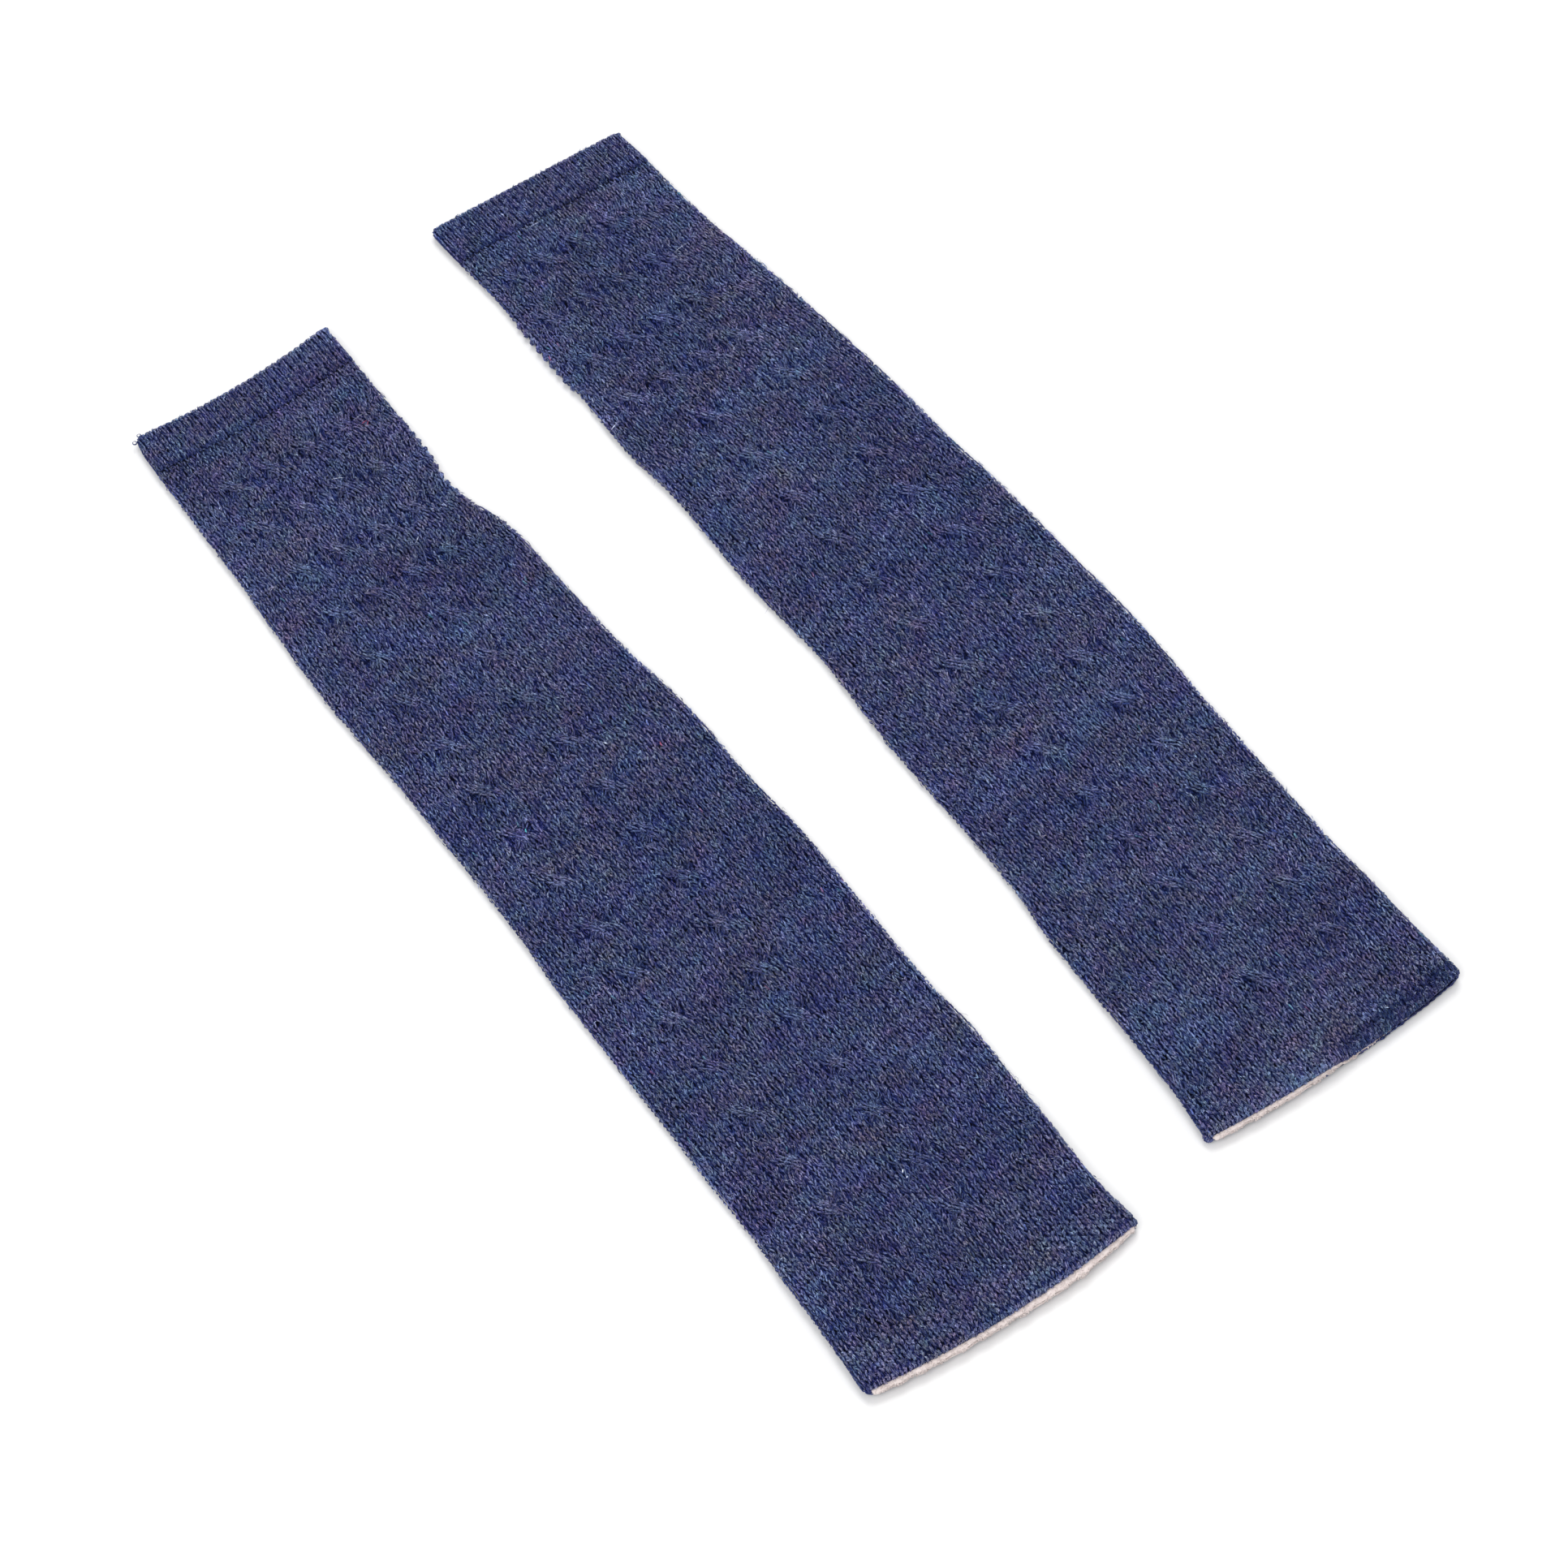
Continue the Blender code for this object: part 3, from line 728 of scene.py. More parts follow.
# Where the bands' courses stop before their edge and the hand band's starts from the seam, and where the
# two courses of the turned edge lie, in and out of the opening
EDGE_MARGIN = 1.2
SEAM_MARGIN = 0.5
EDGE_COURSES = np.array([0.4, -0.5])
# Legs that face lower than this are the underside's plainer ones. Left out are legs in the slit that face
# out of it, and any that would be shorter than the least length in millimetres.
TOP_NORMAL = -0.25
SLIT_FACING = 0.9
LEAST_LEG = 0.5
# How much more legs stray along themselves and less out of the cloth, how far they tip, how their sizes and
# lengths vary, and how far they keep off the floor
STRAY_ALONG = 1.6
STRAY_OUT = 0.5
LEG_TIP = 0.05
SIZE_SPREAD = 0.08
LENGTH_SPREAD = 0.07
FLOOR_GAP = 0.08
# Painted light of the legs on either side of a column, those that lean towards the light painted lighter,
# how much it varies from stitch to stitch, and how much more painted light a strand gets for each
# millimetre that it lies higher
LEG_PAINTED_LIGHT = {-1: 0.44, 1: 0.58}
LIGHT_SPREAD = 0.11
LIFT_PAINTED_LIGHT = 0.35


def make_template(name, points, faces):
    """One shape to repeat, a unit long along Y, a unit wide along X and a unit thick along Z."""
    mesh = bpy.data.meshes.new(name)
    mesh.from_pydata(points, [], faces)
    mesh.shade_smooth()
    return add_object(name, mesh)


LEG = make_template(
    "leg of a stitch",
    [
        (0.0, -0.5, -0.45),
        (-0.5, -0.3, -0.2), (0.5, -0.3, -0.2), (0.0, -0.3, 0.4),
        (-0.5, 0.3, -0.2), (0.5, 0.3, -0.2), (0.0, 0.3, 0.4),
        (0.0, 0.5, -0.45),
    ],
    [
        (0, 1, 3), (0, 3, 2), (0, 2, 1),
        (1, 4, 3), (3, 4, 6), (3, 6, 2), (2, 6, 5), (2, 5, 1), (1, 5, 4),
        (4, 7, 6), (6, 7, 5), (5, 7, 4),
    ],
)
PLAIN_LEG = make_template(
    "leg on the underside",
    [(0, -0.5, -0.3), (-0.5, 0, -0.2), (0, 0, 0.5), (0.5, 0, -0.2), (0, 0.5, -0.3)],
    [(0, 1, 2), (0, 2, 3), (0, 3, 1), (4, 2, 1), (4, 3, 2), (4, 1, 3)],
)
FIBRE = make_template(
    "short fibre",
    [(0, -0.5, 0), (-0.5, 0, 1), (0.5, 0, 1), (0, 0.5, 0)],
    [(0, 2, 1), (3, 1, 2), (0, 1, 3), (0, 3, 2)],
)


# A hair has this many sides, and its ends this share of its width
HAIR_SIDES = 3
HAIR_TIP = 0.3


def make_tree(name, first_input, inputs):
    """A new geometry nodes tree with named inputs, and the sockets that give them."""
    tree = bpy.data.node_groups.new(name, "GeometryNodeTree")
    tree.is_modifier = True
    tree.interface.new_socket(first_input, in_out="INPUT", socket_type="NodeSocketGeometry")
    for label, kind in inputs:
        tree.interface.new_socket(label, in_out="INPUT", socket_type="NodeSocket" + kind)
    tree.interface.new_socket("Pieces", in_out="OUTPUT", socket_type="NodeSocketGeometry")
    return tree, tree.nodes.new("NodeGroupInput").outputs


def read_attribute(tree, name, kind):
    inputs = {"Name": name}
    return add_node(tree, "GeometryNodeInputNamedAttribute", inputs, data_type=kind).outputs["Attribute"]


def finish_tree(tree, geometry, used, material):
    """Drop the attributes that the tree has used, and set the material."""
    for name in used:
        inputs = {"Geometry": geometry, "Name": name}
        geometry = add_node(tree, "GeometryNodeRemoveAttribute", inputs).outputs[0]
    inputs = {"Geometry": geometry, "Material": material}
    dressed = add_node(tree, "GeometryNodeSetMaterial", inputs).outputs[0]
    add_node(tree, "NodeGroupOutput", {"Pieces": dressed})
    return tree


def make_setting_tree():
    """Geometry nodes that set one shape on every point, turned to the point's own run and up."""
    inputs = (("Shape", "Object"), ("Size", "Float"), ("Material", "Material"))
    tree, given = make_tree("Set on cloth", "Points", inputs)
    read = {name: read_attribute(tree, name, "FLOAT_VECTOR") for name in ("run", "up", "size")}
    axes = {"Primary Axis": read["run"], "Secondary Axis": read["up"]}
    turn = add_node(tree, "FunctionNodeAxesToRotation", axes, primary_axis="Y", secondary_axis="Z")
    shape = add_node(tree, "GeometryNodeObjectInfo", {"Object": given["Shape"]})
    seat = {
        "Points": given["Points"],
        "Instance": shape.outputs["Geometry"],
        "Rotation": turn.outputs["Rotation"],
        "Scale": scale_vector(tree, read["size"], given["Size"]),
    }
    placed = add_node(tree, "GeometryNodeInstanceOnPoints", seat).outputs[0]
    real = add_node(tree, "GeometryNodeRealizeInstances", {"Geometry": placed}).outputs[0]
    return finish_tree(tree, real, read, given["Material"])


def make_hair_tree():
    """Geometry nodes that turn lines of edges into thin closed hairs, tapered at both ends."""
    tree, given = make_tree("Draw hairs", "Lines", (("Size", "Float"), ("Material", "Material")))
    line = add_node(tree, "GeometryNodeMeshToCurve", {"Mesh": given["Lines"]}).outputs[0]
    circle = {"Resolution": HAIR_SIDES, "Radius": given["Size"]}
    ring = add_node(tree, "GeometryNodeCurvePrimitiveCircle", circle).outputs[0]
    width = read_attribute(tree, "width", "FLOAT")
    place = tree.nodes.new("GeometryNodeSplineParameter").outputs["Factor"]
    turn = {0: combine(tree, "MULTIPLY", place, pi)}
    swell = add_node(tree, "ShaderNodeMath", turn, operation="SINE").outputs[0]
    taper = combine(tree, "ADD", combine(tree, "MULTIPLY", swell, 1 - HAIR_TIP), HAIR_TIP)
    scale = combine(tree, "MULTIPLY", taper, width)
    sweep = {"Curve": line, "Profile Curve": ring, "Scale": scale, "Fill Caps": True}
    hair = add_node(tree, "GeometryNodeCurveToMesh", sweep).outputs[0]
    return finish_tree(tree, hair, ["width"], given["Material"])


SETTING_TREE = make_setting_tree()
HAIR_TREE = make_hair_tree()
# Where each repeated shape goes: centres in metres, run and up as directions, size in millimetres
# A seat's light holds its own tone, and on stitches and their fibres also painted light and painted shade
Seats = namedtuple("Seats", "centre run up size light shade")


def apply_tree(obj, tree, values):
    """Replace an object's mesh by what the geometry nodes make of it."""
    modifier = obj.modifiers.new("Knitting", "NODES")
    modifier.node_group = tree
    for socket in tree.interface.items_tree:
        if socket.in_out == "INPUT" and socket.name in values:
            modifier[socket.identifier] = values[socket.name]
    evaluated = obj.evaluated_get(bpy.context.evaluated_depsgraph_get())
    mesh = bpy.data.meshes.new_from_object(evaluated)
    obj.modifiers.remove(modifier)
    given_mesh = obj.data
    obj.data = mesh
    mesh.name = obj.name
    bpy.data.meshes.remove(given_mesh)


def set_on_cloth(name, seats, shape, material):
    """One mesh of a shape repeated on all the seats."""
    mesh = bpy.data.meshes.new(name + " seats")
    mesh.vertices.add(len(seats.centre))
    mesh.vertices.foreach_set("co", seats.centre.astype(np.float32).ravel())
    for attribute in ("run", "up", "size"):
        store(mesh, attribute, getattr(seats, attribute), "FLOAT_VECTOR", "vector")
    store(mesh, "light", seats.light)
    store(mesh, "shade", seats.shade)
    obj = add_object(name, mesh)
    apply_tree(obj, SETTING_TREE, {"Shape": shape, "Size": MM, "Material": material})
    return finish_piece(obj)


def draw_hairs(name, lines, width, light, shade, material):
    """One mesh of thin hairs: lines has a row of points for each hair, and widths are in millimetres."""
    count, steps = lines.shape[:2]
    first = np.arange(count * steps).reshape(count, steps)
    edges = np.stack([first[:, :-1], first[:, 1:]], axis=-1).reshape(-1, 2)
    mesh = bpy.data.meshes.new(name + " lines")
    mesh.from_pydata(lines.reshape(-1, 3), edges, [])
    for attribute, values in (("width", width), ("light", light), ("shade", shade)):
        store(mesh, attribute, np.repeat(np.broadcast_to(values, count), steps))
    obj = add_object(name, mesh)
    apply_tree(obj, HAIR_TREE, {"Size": MM / 2, "Material": material})
    obj.data.shade_smooth()
    return finish_piece(obj)


def unit(vectors):
    return vectors / np.linalg.norm(vectors, axis=-1, keepdims=True)


def cloth_grid(mitt, part, along, wales, inset, lift, bend=None):
    """Points, outward directions and places across on the tube, and which of them exist: a row for each
    place along, a column for each wale, counted round the tube from the first cable's middle line.
    Past a rolled end the cloth turns in, so those rows lie deeper and face out of the opening."""
    turned_in = np.zeros_like(along)
    outward = 0
    if part.rolled_end is not None:
        outward = 1 if part.rolled_end > part.start else -1
        turned_in = np.maximum((along - part.rolled_end) * outward, 0)
        along = along - turned_in * outward
    along = np.clip(along, part.start - SEAM_OVERLAP, part.end + SEAM_OVERLAP)
    across, height = tube_outline(mitt, part, along, inset + turned_in[:, None])
    steps = np.hypot(np.diff(across), np.diff(height))
    girth = np.hstack([np.zeros((len(along), 1)), np.cumsum(steps, axis=1)])
    first, spacing = cable_columns(mitt, along)
    pitch = spacing / WALES_PER_CABLE
    outside = np.minimum(wales, 0) + np.maximum(wales - WALES_PER_CABLE * (CABLE_COUNT - 1), 0)
    wales = wales + FAN * smooth_step(FAN_START, LENGTH, along)[:, None] * outside
    outline = (across, height, np.gradient(across, axis=1), np.gradient(height, axis=1))
    columns = []
    for row in range(len(along)):
        start = np.interp(first[row], across[row, TOP_FACE], girth[row, TOP_FACE])
        arc = start + wales[row] * pitch[row]
        read = [np.interp(arc, girth[row], values[row]) for values in outline]
        columns.append((*read, (arc >= 0) & (arc <= girth[row, -1])))
    x, z, dx, dz, exists = (np.array(values) for values in zip(*columns))
    length = np.hypot(dx, dz)
    out_across, out_height = -dz / length, dx / length
    x = x + out_across * lift
    z = z + out_height * lift
    out_x, out_y = turn_points(mitt, out_across, -outward * turned_in[:, None])
    normal = unit(np.stack([out_x, out_y, out_height], axis=-1))
    laid = along[:, None] if bend is None else bend(mitt, along[:, None], x)
    return lay_points(mitt, laid, x, z), normal, x, exists.astype(bool)


def crossing_strands(mitt, courses):
    """Which wales of which courses lie in a crossing, where its middle is, and the wales' places in it."""
    row, down = nearest_crossing(mitt, courses)
    cable = np.round(WALES / WALES_PER_CABLE)
    here = is_cabled(mitt, row[:, None], cable[None, :]) & (np.abs(down[:, None]) < CROSSING_REACH)
    return here, mitt.first_crossing + row * mitt.pitch, WALES - cable * WALES_PER_CABLE


def strand_places(mitt, courses, along):
    """Wale positions at each place, and how far the strands are lifted, for the given courses."""
    here, middle, offset = crossing_strands(mitt, courses)
    local = (along - middle)[:, None]
    travel = smooth_step(-CROSSING_REACH, CROSSING_REACH, local)
    swell = np.clip(1 - (local / CROSSING_REACH) ** 2, 0, 1)
    crossing = np.where(offset < 0, CROSSING_SHIFT, -CROSSING_SHIFT) * travel
    pulled = -np.sign(offset) * NEIGHBOUR_PULL * swell
    crosses = np.abs(offset) < CABLE_HALF_WALES
    shift = np.where(crosses, crossing, pulled)
    lift = np.where(offset < 0, OVER_RAISE, -UNDER_DROP * swell) * crosses * swell
    return WALES + np.where(here, shift, 0), np.where(here, lift, 0)


def stitch_shade(mitt, part, along, across, up):
    """How much light stitches lose to painted shade, from 0 to 1, for what the low relief alone can't
    shade.
    """
    shade = FOLD_SHADE * smooth_step(TOP_FACING, 0.0, up[..., 2])
    on_top = up[..., 2] > 0
    if part.cabled:
        shade = shade + PIT_SHADE * cable_forms(mitt, along, across)[1] * on_top
    turned = roll_share(mitt, across) * on_top
    for groove, share in ((HAND_BAND.end, on_top), (ROLL_START, turned)):
        shade = shade + GROOVE_SHADE * np.exp(-(((along - groove) / GROOVE_REACH) ** 2)) * share
    rolled = smooth_step(ROLL_START - ROLL_SHADE_BEFORE, ROLL_START + ROLL_SHADE_AFTER, along)
    return shade + ROLL_SHADE * rolled * turned


def knit_seats(mitt, part, knit, courses, spacing, rng):
    """Seats of both legs of every stitch of a part."""
    found = []
    for side in (-1, 1):
        rows = courses + side * knit.stagger * spacing
        ends = []
        for direction, spread in ((-1, knit.hand_spread), (1, knit.elbow_spread)):
            along = rows + direction * knit.reach * spacing
            wales, lift = np.tile(WALES, (len(rows), 1)), 0
            if part.cabled:
                wales, lift = strand_places(mitt, rows, along)
            ends.append(cloth_grid(mitt, part, along, wales + side * spread, knit.inset, lift))
        points, normals, across, present = zip(*ends)
        centre = (points[0] + points[1]) / 2
        up = unit(normals[0] + normals[1])
        run = points[0] - points[1]
        length = np.linalg.norm(run, axis=-1) / MM
        exists = present[0] & present[1] & (length > LEAST_LEG)
        if part is BODY:
            in_slit = (rows > mitt.thumb.start) & (rows < mitt.thumb.end)
            exists &= ~(in_slit[:, None] & (up[..., 0] * mitt.thumb.side > SLIT_FACING))
        # Painted light: legs that lean towards the light, and strands that lie higher, are painted lighter
        light = LEG_PAINTED_LIGHT[side] + LIFT_PAINTED_LIGHT * lift
        # Painted shade in the pits, at the folds, in the grooves and on the turned edge
        light = light - stitch_shade(mitt, part, rows[:, None], (across[0] + across[1]) / 2, up)
        found.append([values[exists] for values in (centre, run, up, length, light)])
    centre, run, up, length, light = (np.concatenate(values) for values in zip(*found))
    count = len(centre)
    run = unit(run)
    side = unit(np.cross(run, up))
    jitter = rng.normal(0, knit.unruly, (3, count, 1)) * MM
    centre = centre + side * jitter[0] + run * jitter[1] * STRAY_ALONG + up * jitter[2] * STRAY_OUT
    run = run + side * rng.normal(0, knit.unruly, (count, 1)) + up * rng.normal(0, LEG_TIP, (count, 1))
    swell = rng.normal(1, SIZE_SPREAD, count)
    length = length * rng.normal(1, LENGTH_SPREAD, count)
    size = np.stack([knit.width * swell, length, knit.thickness * swell], axis=-1)
    lowest = size[:, 2] / 2 * np.abs(up[:, 2]) + size[:, 1] / 2 * np.abs(run[:, 2]) + FLOOR_GAP
    centre[:, 2] = np.maximum(centre[:, 2], lowest * MM)
    light = np.clip(light + rng.normal(0, LIGHT_SPREAD, count), 0, 1)
    return Seats(centre, run, up, size, light, rng.uniform(0, 1, count))


def choose_seats(seats, chosen):
    return Seats(*(values[chosen] for values in seats))


def join_seats(*groups):
    return Seats(*(np.concatenate(values) for values in zip(*groups)))


KNITTED = {}
for mitt in MITTS:
    rng = np.random.default_rng(mitt.seed)
    course = mitt.pitch / COURSES_PER_CROSSING
    body_courses = np.arange(BODY.start + 0.5 * course, BODY.end, course)
    hand_courses = np.arange(HAND_BAND.end - SEAM_MARGIN, EDGE_MARGIN, -HAND_KNIT.course)
    elbow_courses = np.arange(body_courses[-1] + course, LENGTH - EDGE_MARGIN, ELBOW_KNIT.course)
    body, hand, hand_edge, elbow, elbow_edge = (
        knit_seats(mitt, part, knit, courses, knit.course or course, rng)
        for part, knit, courses in (
            (BODY, BODY_KNIT, body_courses),
            (HAND_BAND, HAND_KNIT, hand_courses),
            (HAND_BAND, EDGE_KNIT, EDGE_COURSES),
            (ELBOW_BAND, ELBOW_KNIT, elbow_courses),
            (ELBOW_BAND, EDGE_KNIT, LENGTH - EDGE_COURSES),
        )
    )
    on_top = body.up[:, 2] > TOP_NORMAL
    KNITTED[mitt.name] = {
        "stitches": choose_seats(body, on_top),
        "under_stitches": choose_seats(body, ~on_top),
        "hand_band_stitches": join_seats(hand, hand_edge),
        "elbow_band_stitches": join_seats(elbow, elbow_edge),
    }
    for layer, seats in KNITTED[mitt.name].items():
        leg = PLAIN_LEG if layer == "under_stitches" else LEG
        set_on_cloth(mitt.name + "_" + layer, seats, leg, STITCH_WOOL)

# The fuzz
# Short fibres lie on every stitch and soften it, fewer of them at the folds, so the outline stays crisp.
# Longer pale hairs lie curled on the cloth.
Fuzz = namedtuple("Fuzz", "count turn lean roll reach width length_low length_high arch")
BODY_FUZZ = Fuzz(27500, 0.50, 0.08, 1.1, 0.8, 0.10, 0.8, 2.2, 0.25)
UNDER_FUZZ = Fuzz(3500, 0.60, 0.06, 1.2, 0.8, 0.11, 1.0, 2.8, 0.25)
HAND_FUZZ = Fuzz(1200, 0.50, 0.05, 1.1, 0.5, 0.11, 0.9, 2.0, 0.25)
ELBOW_FUZZ = Fuzz(3300, 0.50, 0.05, 1.1, 0.5, 0.12, 0.9, 2.0, 0.25)
Curl = namedtuple("Curl", "count steps length_low length_high bend wander lift width")
BODY_CURLS = Curl(320, 7, 3.0, 7.0, 0.9, 0.30, 0.4, 0.10)
# The share of its fibres that cloth at the folds goes without
FOLD_THINNING = 0.8
# Fibres start at this share of a stitch's thickness, and up to so many millimetres more above its middle
FIBRE_SEAT = 0.36
FIBRE_RISE = 0.12
# Least and most of a fibre's own width and arch, how its light varies, and how far it keeps off the floor
FIBRE_WIDTHS = (0.7, 1.3)
FIBRE_ARCHES = (0.3, 1.3)
FIBRE_LIGHT_SPREAD = 0.22
FIBRE_FLOOR_GAP = 0.1
# The least shade of a fibre or hair, so that none but the palest flecks are among them
LEAST_HAIR_SHADE = 0.6 * FLECK_SHARE
# A long hair bends by its bend over so many steps, starts so high and rises by a share of its lift
BEND_STEPS = 3
CURL_SEAT = 0.35
CURL_RISES = (0.2, 1.0)
CURL_FLOOR_GAP = 0.2
CURL_LIGHT = (0.55, 0.25)


def root_fibres(seats, fuzz, rng):
    """Seats of short fibres, each on a stitch that is picked at random."""
    wanted = 1.0 - FOLD_THINNING * (seats.up[:, 2] < TOP_FACING)
    root = rng.choice(len(wanted), fuzz.count, p=wanted / wanted.sum())
    up, run = seats.up[root], unit(seats.run[root])
    side = unit(np.cross(run, up))
    turn = rng.normal(0, fuzz.turn, (fuzz.count, 1))
    lean = rng.normal(0, fuzz.lean, (fuzz.count, 1))
    heading = unit(run * np.cos(turn) + side * np.sin(turn) + up * lean)
    roll = rng.uniform(-fuzz.roll, fuzz.roll, (fuzz.count, 1))
    bulge = up * np.cos(roll) + np.cross(heading, up) * np.sin(roll)
    aside = rng.uniform(-fuzz.reach, fuzz.reach, (2, fuzz.count, 1))
    rise = seats.size[root, 2:3] * FIBRE_SEAT + rng.uniform(0, FIBRE_RISE, (fuzz.count, 1))
    centre = seats.centre[root] + (side * aside[0] + run * aside[1] + up * rise) * MM
    width = fuzz.width * rng.uniform(*FIBRE_WIDTHS, fuzz.count)
    length = rng.uniform(fuzz.length_low, fuzz.length_high, fuzz.count)
    arch = fuzz.arch * rng.uniform(*FIBRE_ARCHES, fuzz.count)
    lowest = length / 2 * np.abs(heading[:, 2]) + arch * np.maximum(-bulge[:, 2], 0) + FIBRE_FLOOR_GAP
    centre[:, 2] = np.maximum(centre[:, 2], lowest * MM)
    light = np.clip(seats.light[root] + rng.normal(0, FIBRE_LIGHT_SPREAD, fuzz.count), 0, 1)
    shade = rng.uniform(LEAST_HAIR_SHADE, 1, fuzz.count)
    return Seats(centre, heading, bulge, np.stack([width, length, arch], axis=-1), light, shade)


def curl_lines(seats, curl, rng):
    """Lines of long hairs that wander over the cloth from stitches picked at random."""
    root = rng.integers(0, len(seats.centre), curl.count)
    up, run = seats.up[root], unit(seats.run[root])
    side = unit(np.cross(run, up))
    length = rng.uniform(curl.length_low, curl.length_high, (curl.count, 1)) / (curl.steps - 1)
    bend = rng.normal(0, curl.bend, (curl.count, 1)) / (curl.steps - 1) * BEND_STEPS
    turns = bend + rng.normal(0, curl.wander, (curl.count, curl.steps))
    heading = rng.uniform(0, 2 * pi, (curl.count, 1)) + np.cumsum(turns, axis=1)
    ahead, aside = (np.cumsum(length * step, axis=1) for step in (np.cos(heading), np.sin(heading)))
    ahead, aside = (steps - steps.mean(axis=1, keepdims=True) for steps in (ahead, aside))
    arch = curl.lift * np.sin(np.linspace(0, pi, curl.steps))
    rise = CURL_SEAT + rng.uniform(*CURL_RISES, (curl.count, 1)) * arch
    ahead, aside, rise = (
        steps[..., None] * direction[:, None]
        for steps, direction in ((ahead, run), (aside, side), (rise, up))
    )
    lines = seats.centre[root][:, None] + (ahead + aside + rise) * MM
    lines[..., 2] = np.maximum(lines[..., 2], CURL_FLOOR_GAP * MM)
    return lines


for mitt in MITTS:
    rng = np.random.default_rng(mitt.seed + 100)
    upper, under, hand, elbow = KNITTED[mitt.name].values()
    hand, elbow = (choose_seats(band, band.up[:, 2] > TOP_FACING) for band in (hand, elbow))
    groups = ((upper, BODY_FUZZ), (under, UNDER_FUZZ), (hand, HAND_FUZZ), (elbow, ELBOW_FUZZ))
    fibres = [root_fibres(seats, fuzz, rng) for seats, fuzz in groups]
    set_on_cloth(mitt.name + "_fuzz", join_seats(*fibres), FIBRE, HAIR_WOOL)
    lines = curl_lines(upper, BODY_CURLS, rng)
    light = np.clip(rng.normal(*CURL_LIGHT, len(lines)), 0, 1)
    shade = rng.uniform(LEAST_HAIR_SHADE, 1, len(lines))
    draw_hairs(mitt.name + "_hairs", lines, BODY_CURLS.width, light, shade, HAIR_WOOL)

# The lining
# A brushed cream cloth lies inside the elbow opening and shows as a thin edge under the upper layer. It
# shows most in the middle of the left mitt, and on the right mitt it fades where the elbow edge turns down.
CREAM = (0.86, 0.77, 0.75)
DIM_CREAM = (0.68, 0.56, 0.54)
CREAM_FINISH = {
    "Roughness": 0.95,
    "Specular IOR Level": 0.2,
    "Sheen Weight": 0.3,
    "Sheen Roughness": 0.5,
}
NAP_PATCH = (0.8, 0.8, 0.8)
NAP_RANGE = (0.3, 0.7, 0.5, 0)
NAP_BUMP = 0.8
NAP_DEPTH = 0.4 * MM
EDGE_PLACES = (-1.0, -0.5, 0.0, 0.5, 1.0)
# Waves of the lining's edge: size in millimetres, waves in radians a millimetre, and where they start
EDGE_WAVES = ((0.20, 0.95, 0.4), (0.13, 0.61, 2.0))
LINING_STRETCH = 12.0
Tufts = namedtuple("Tufts", "count start end width length thickness rise")
LINING_TUFTS = Tufts(1100, 379.2, 382.6, 0.7, 1.0, 0.55, 0.0)
LINING_NAP = Tufts(1500, 379.2, 382.8, 0.16, 1.3, 0.35, 0.15)
# How far tufts lean out of the cloth, and the least and most of their size
TUFT_LEAN = 0.3
TUFT_SIZES = (0.6, 1.3)


def make_cream():
    material, tree, shader = new_material("brushed cream", CREAM_FINISH)
    nap = scaled_noise(tree, object_place(tree), NAP_PATCH, 3.0, 0.65)
    colour = mix_colours(tree, map_range(tree, nap, *NAP_RANGE), CREAM, DIM_CREAM)
    dress_shader(tree, shader, colour, NAP_BUMP, NAP_DEPTH, nap)
    return material


def stretch_lining(mitt, along, across):
    """Move the lining's edge in or out to where it shows, with soft waves."""
    edge = np.interp(share_across(mitt, LENGTH, across), EDGE_PLACES, mitt.lining_edge)
    for size, waves, start in EDGE_WAVES:
        edge = edge + size * np.sin(waves * across + start + mitt.seed)
    share = smooth_step(LINING.end - LINING_STRETCH, LINING.end, along)
    return along + (LENGTH + edge - LINING.end) * share


def tuft_seats(mitt, tufts, rng):
    """Seats of small tufts at random places near the lining's edge, pointing every way."""
    along = rng.uniform(tufts.start, tufts.end, tufts.count)
    wales = rng.uniform(WALES[0], WALES[-1], (tufts.count, 1))
    centre, up, _, exists = cloth_grid(mitt, LINING, along, wales, LINING.skin, tufts.rise, stretch_lining)
    centre, up = centre[exists], up[exists]
    count = len(centre)
    heading = rng.normal(0, 1, (count, 3)) + up * TUFT_LEAN
    spread = rng.uniform(*TUFT_SIZES, (count, 1))
    size = np.array([tufts.width, tufts.length, tufts.thickness]) * spread
    even = np.full(count, EVEN)
    return Seats(centre, unit(heading), up, size, even, even)


BRUSHED_CREAM = make_cream()
for mitt in MITTS:
    rng = np.random.default_rng(mitt.seed + 200)
    make_shell(mitt, LINING, BRUSHED_CREAM, stretch_lining)
    for name, tufts, shape in (("tufts", LINING_TUFTS, PLAIN_LEG), ("nap", LINING_NAP, FIBRE)):
        seats = tuft_seats(mitt, tufts, rng)
        set_on_cloth(mitt.name + "_lining_" + name, seats, shape, BRUSHED_CREAM)

# The edges and the small marks
# A loop stands out at the hand end of every wale, and the slit's lips are bound by a row of knots. A few
# hairs, flecks and tufts lie where the photograph shows them.
LOOP_STEPS = np.linspace(0, pi, 7)
LOOP_HALF_WIDTH = 0.36
LOOP_REACH = 0.5
LOOP_INSET = 1.0
LOOP_WIDTH = 0.42
LOOP_LIGHT = (0.15, 0.1)
KNOT_SPACING = 3.4
KNOT_MARGIN = 1.5
KNOT_INSET = 0.8
KNOT_LEGS = 9
KNOT_RADIUS = 0.7
KNOT_LEG_SIZE = (0.6, 1.6, 0.7)
KNOT_LIGHT = (0.45, 0.18)
GOLDEN_ANGLE = pi * (3 - 5 ** 0.5)
# Knobs of yarn at corners: place along, across and up, radius in millimetres and number of legs
Knob = namedtuple("Knob", "mitt place radius legs")
KNOBS = (
    Knob(RIGHT_MITT, (378.6, -43.9, 2.0), 1.4, 60),
    Knob(RIGHT_MITT, (0.9, 31.9, 2.8), 0.6, 20),
    Knob(LEFT_MITT, (0.9, 33.3, 2.8), 0.6, 20),
)
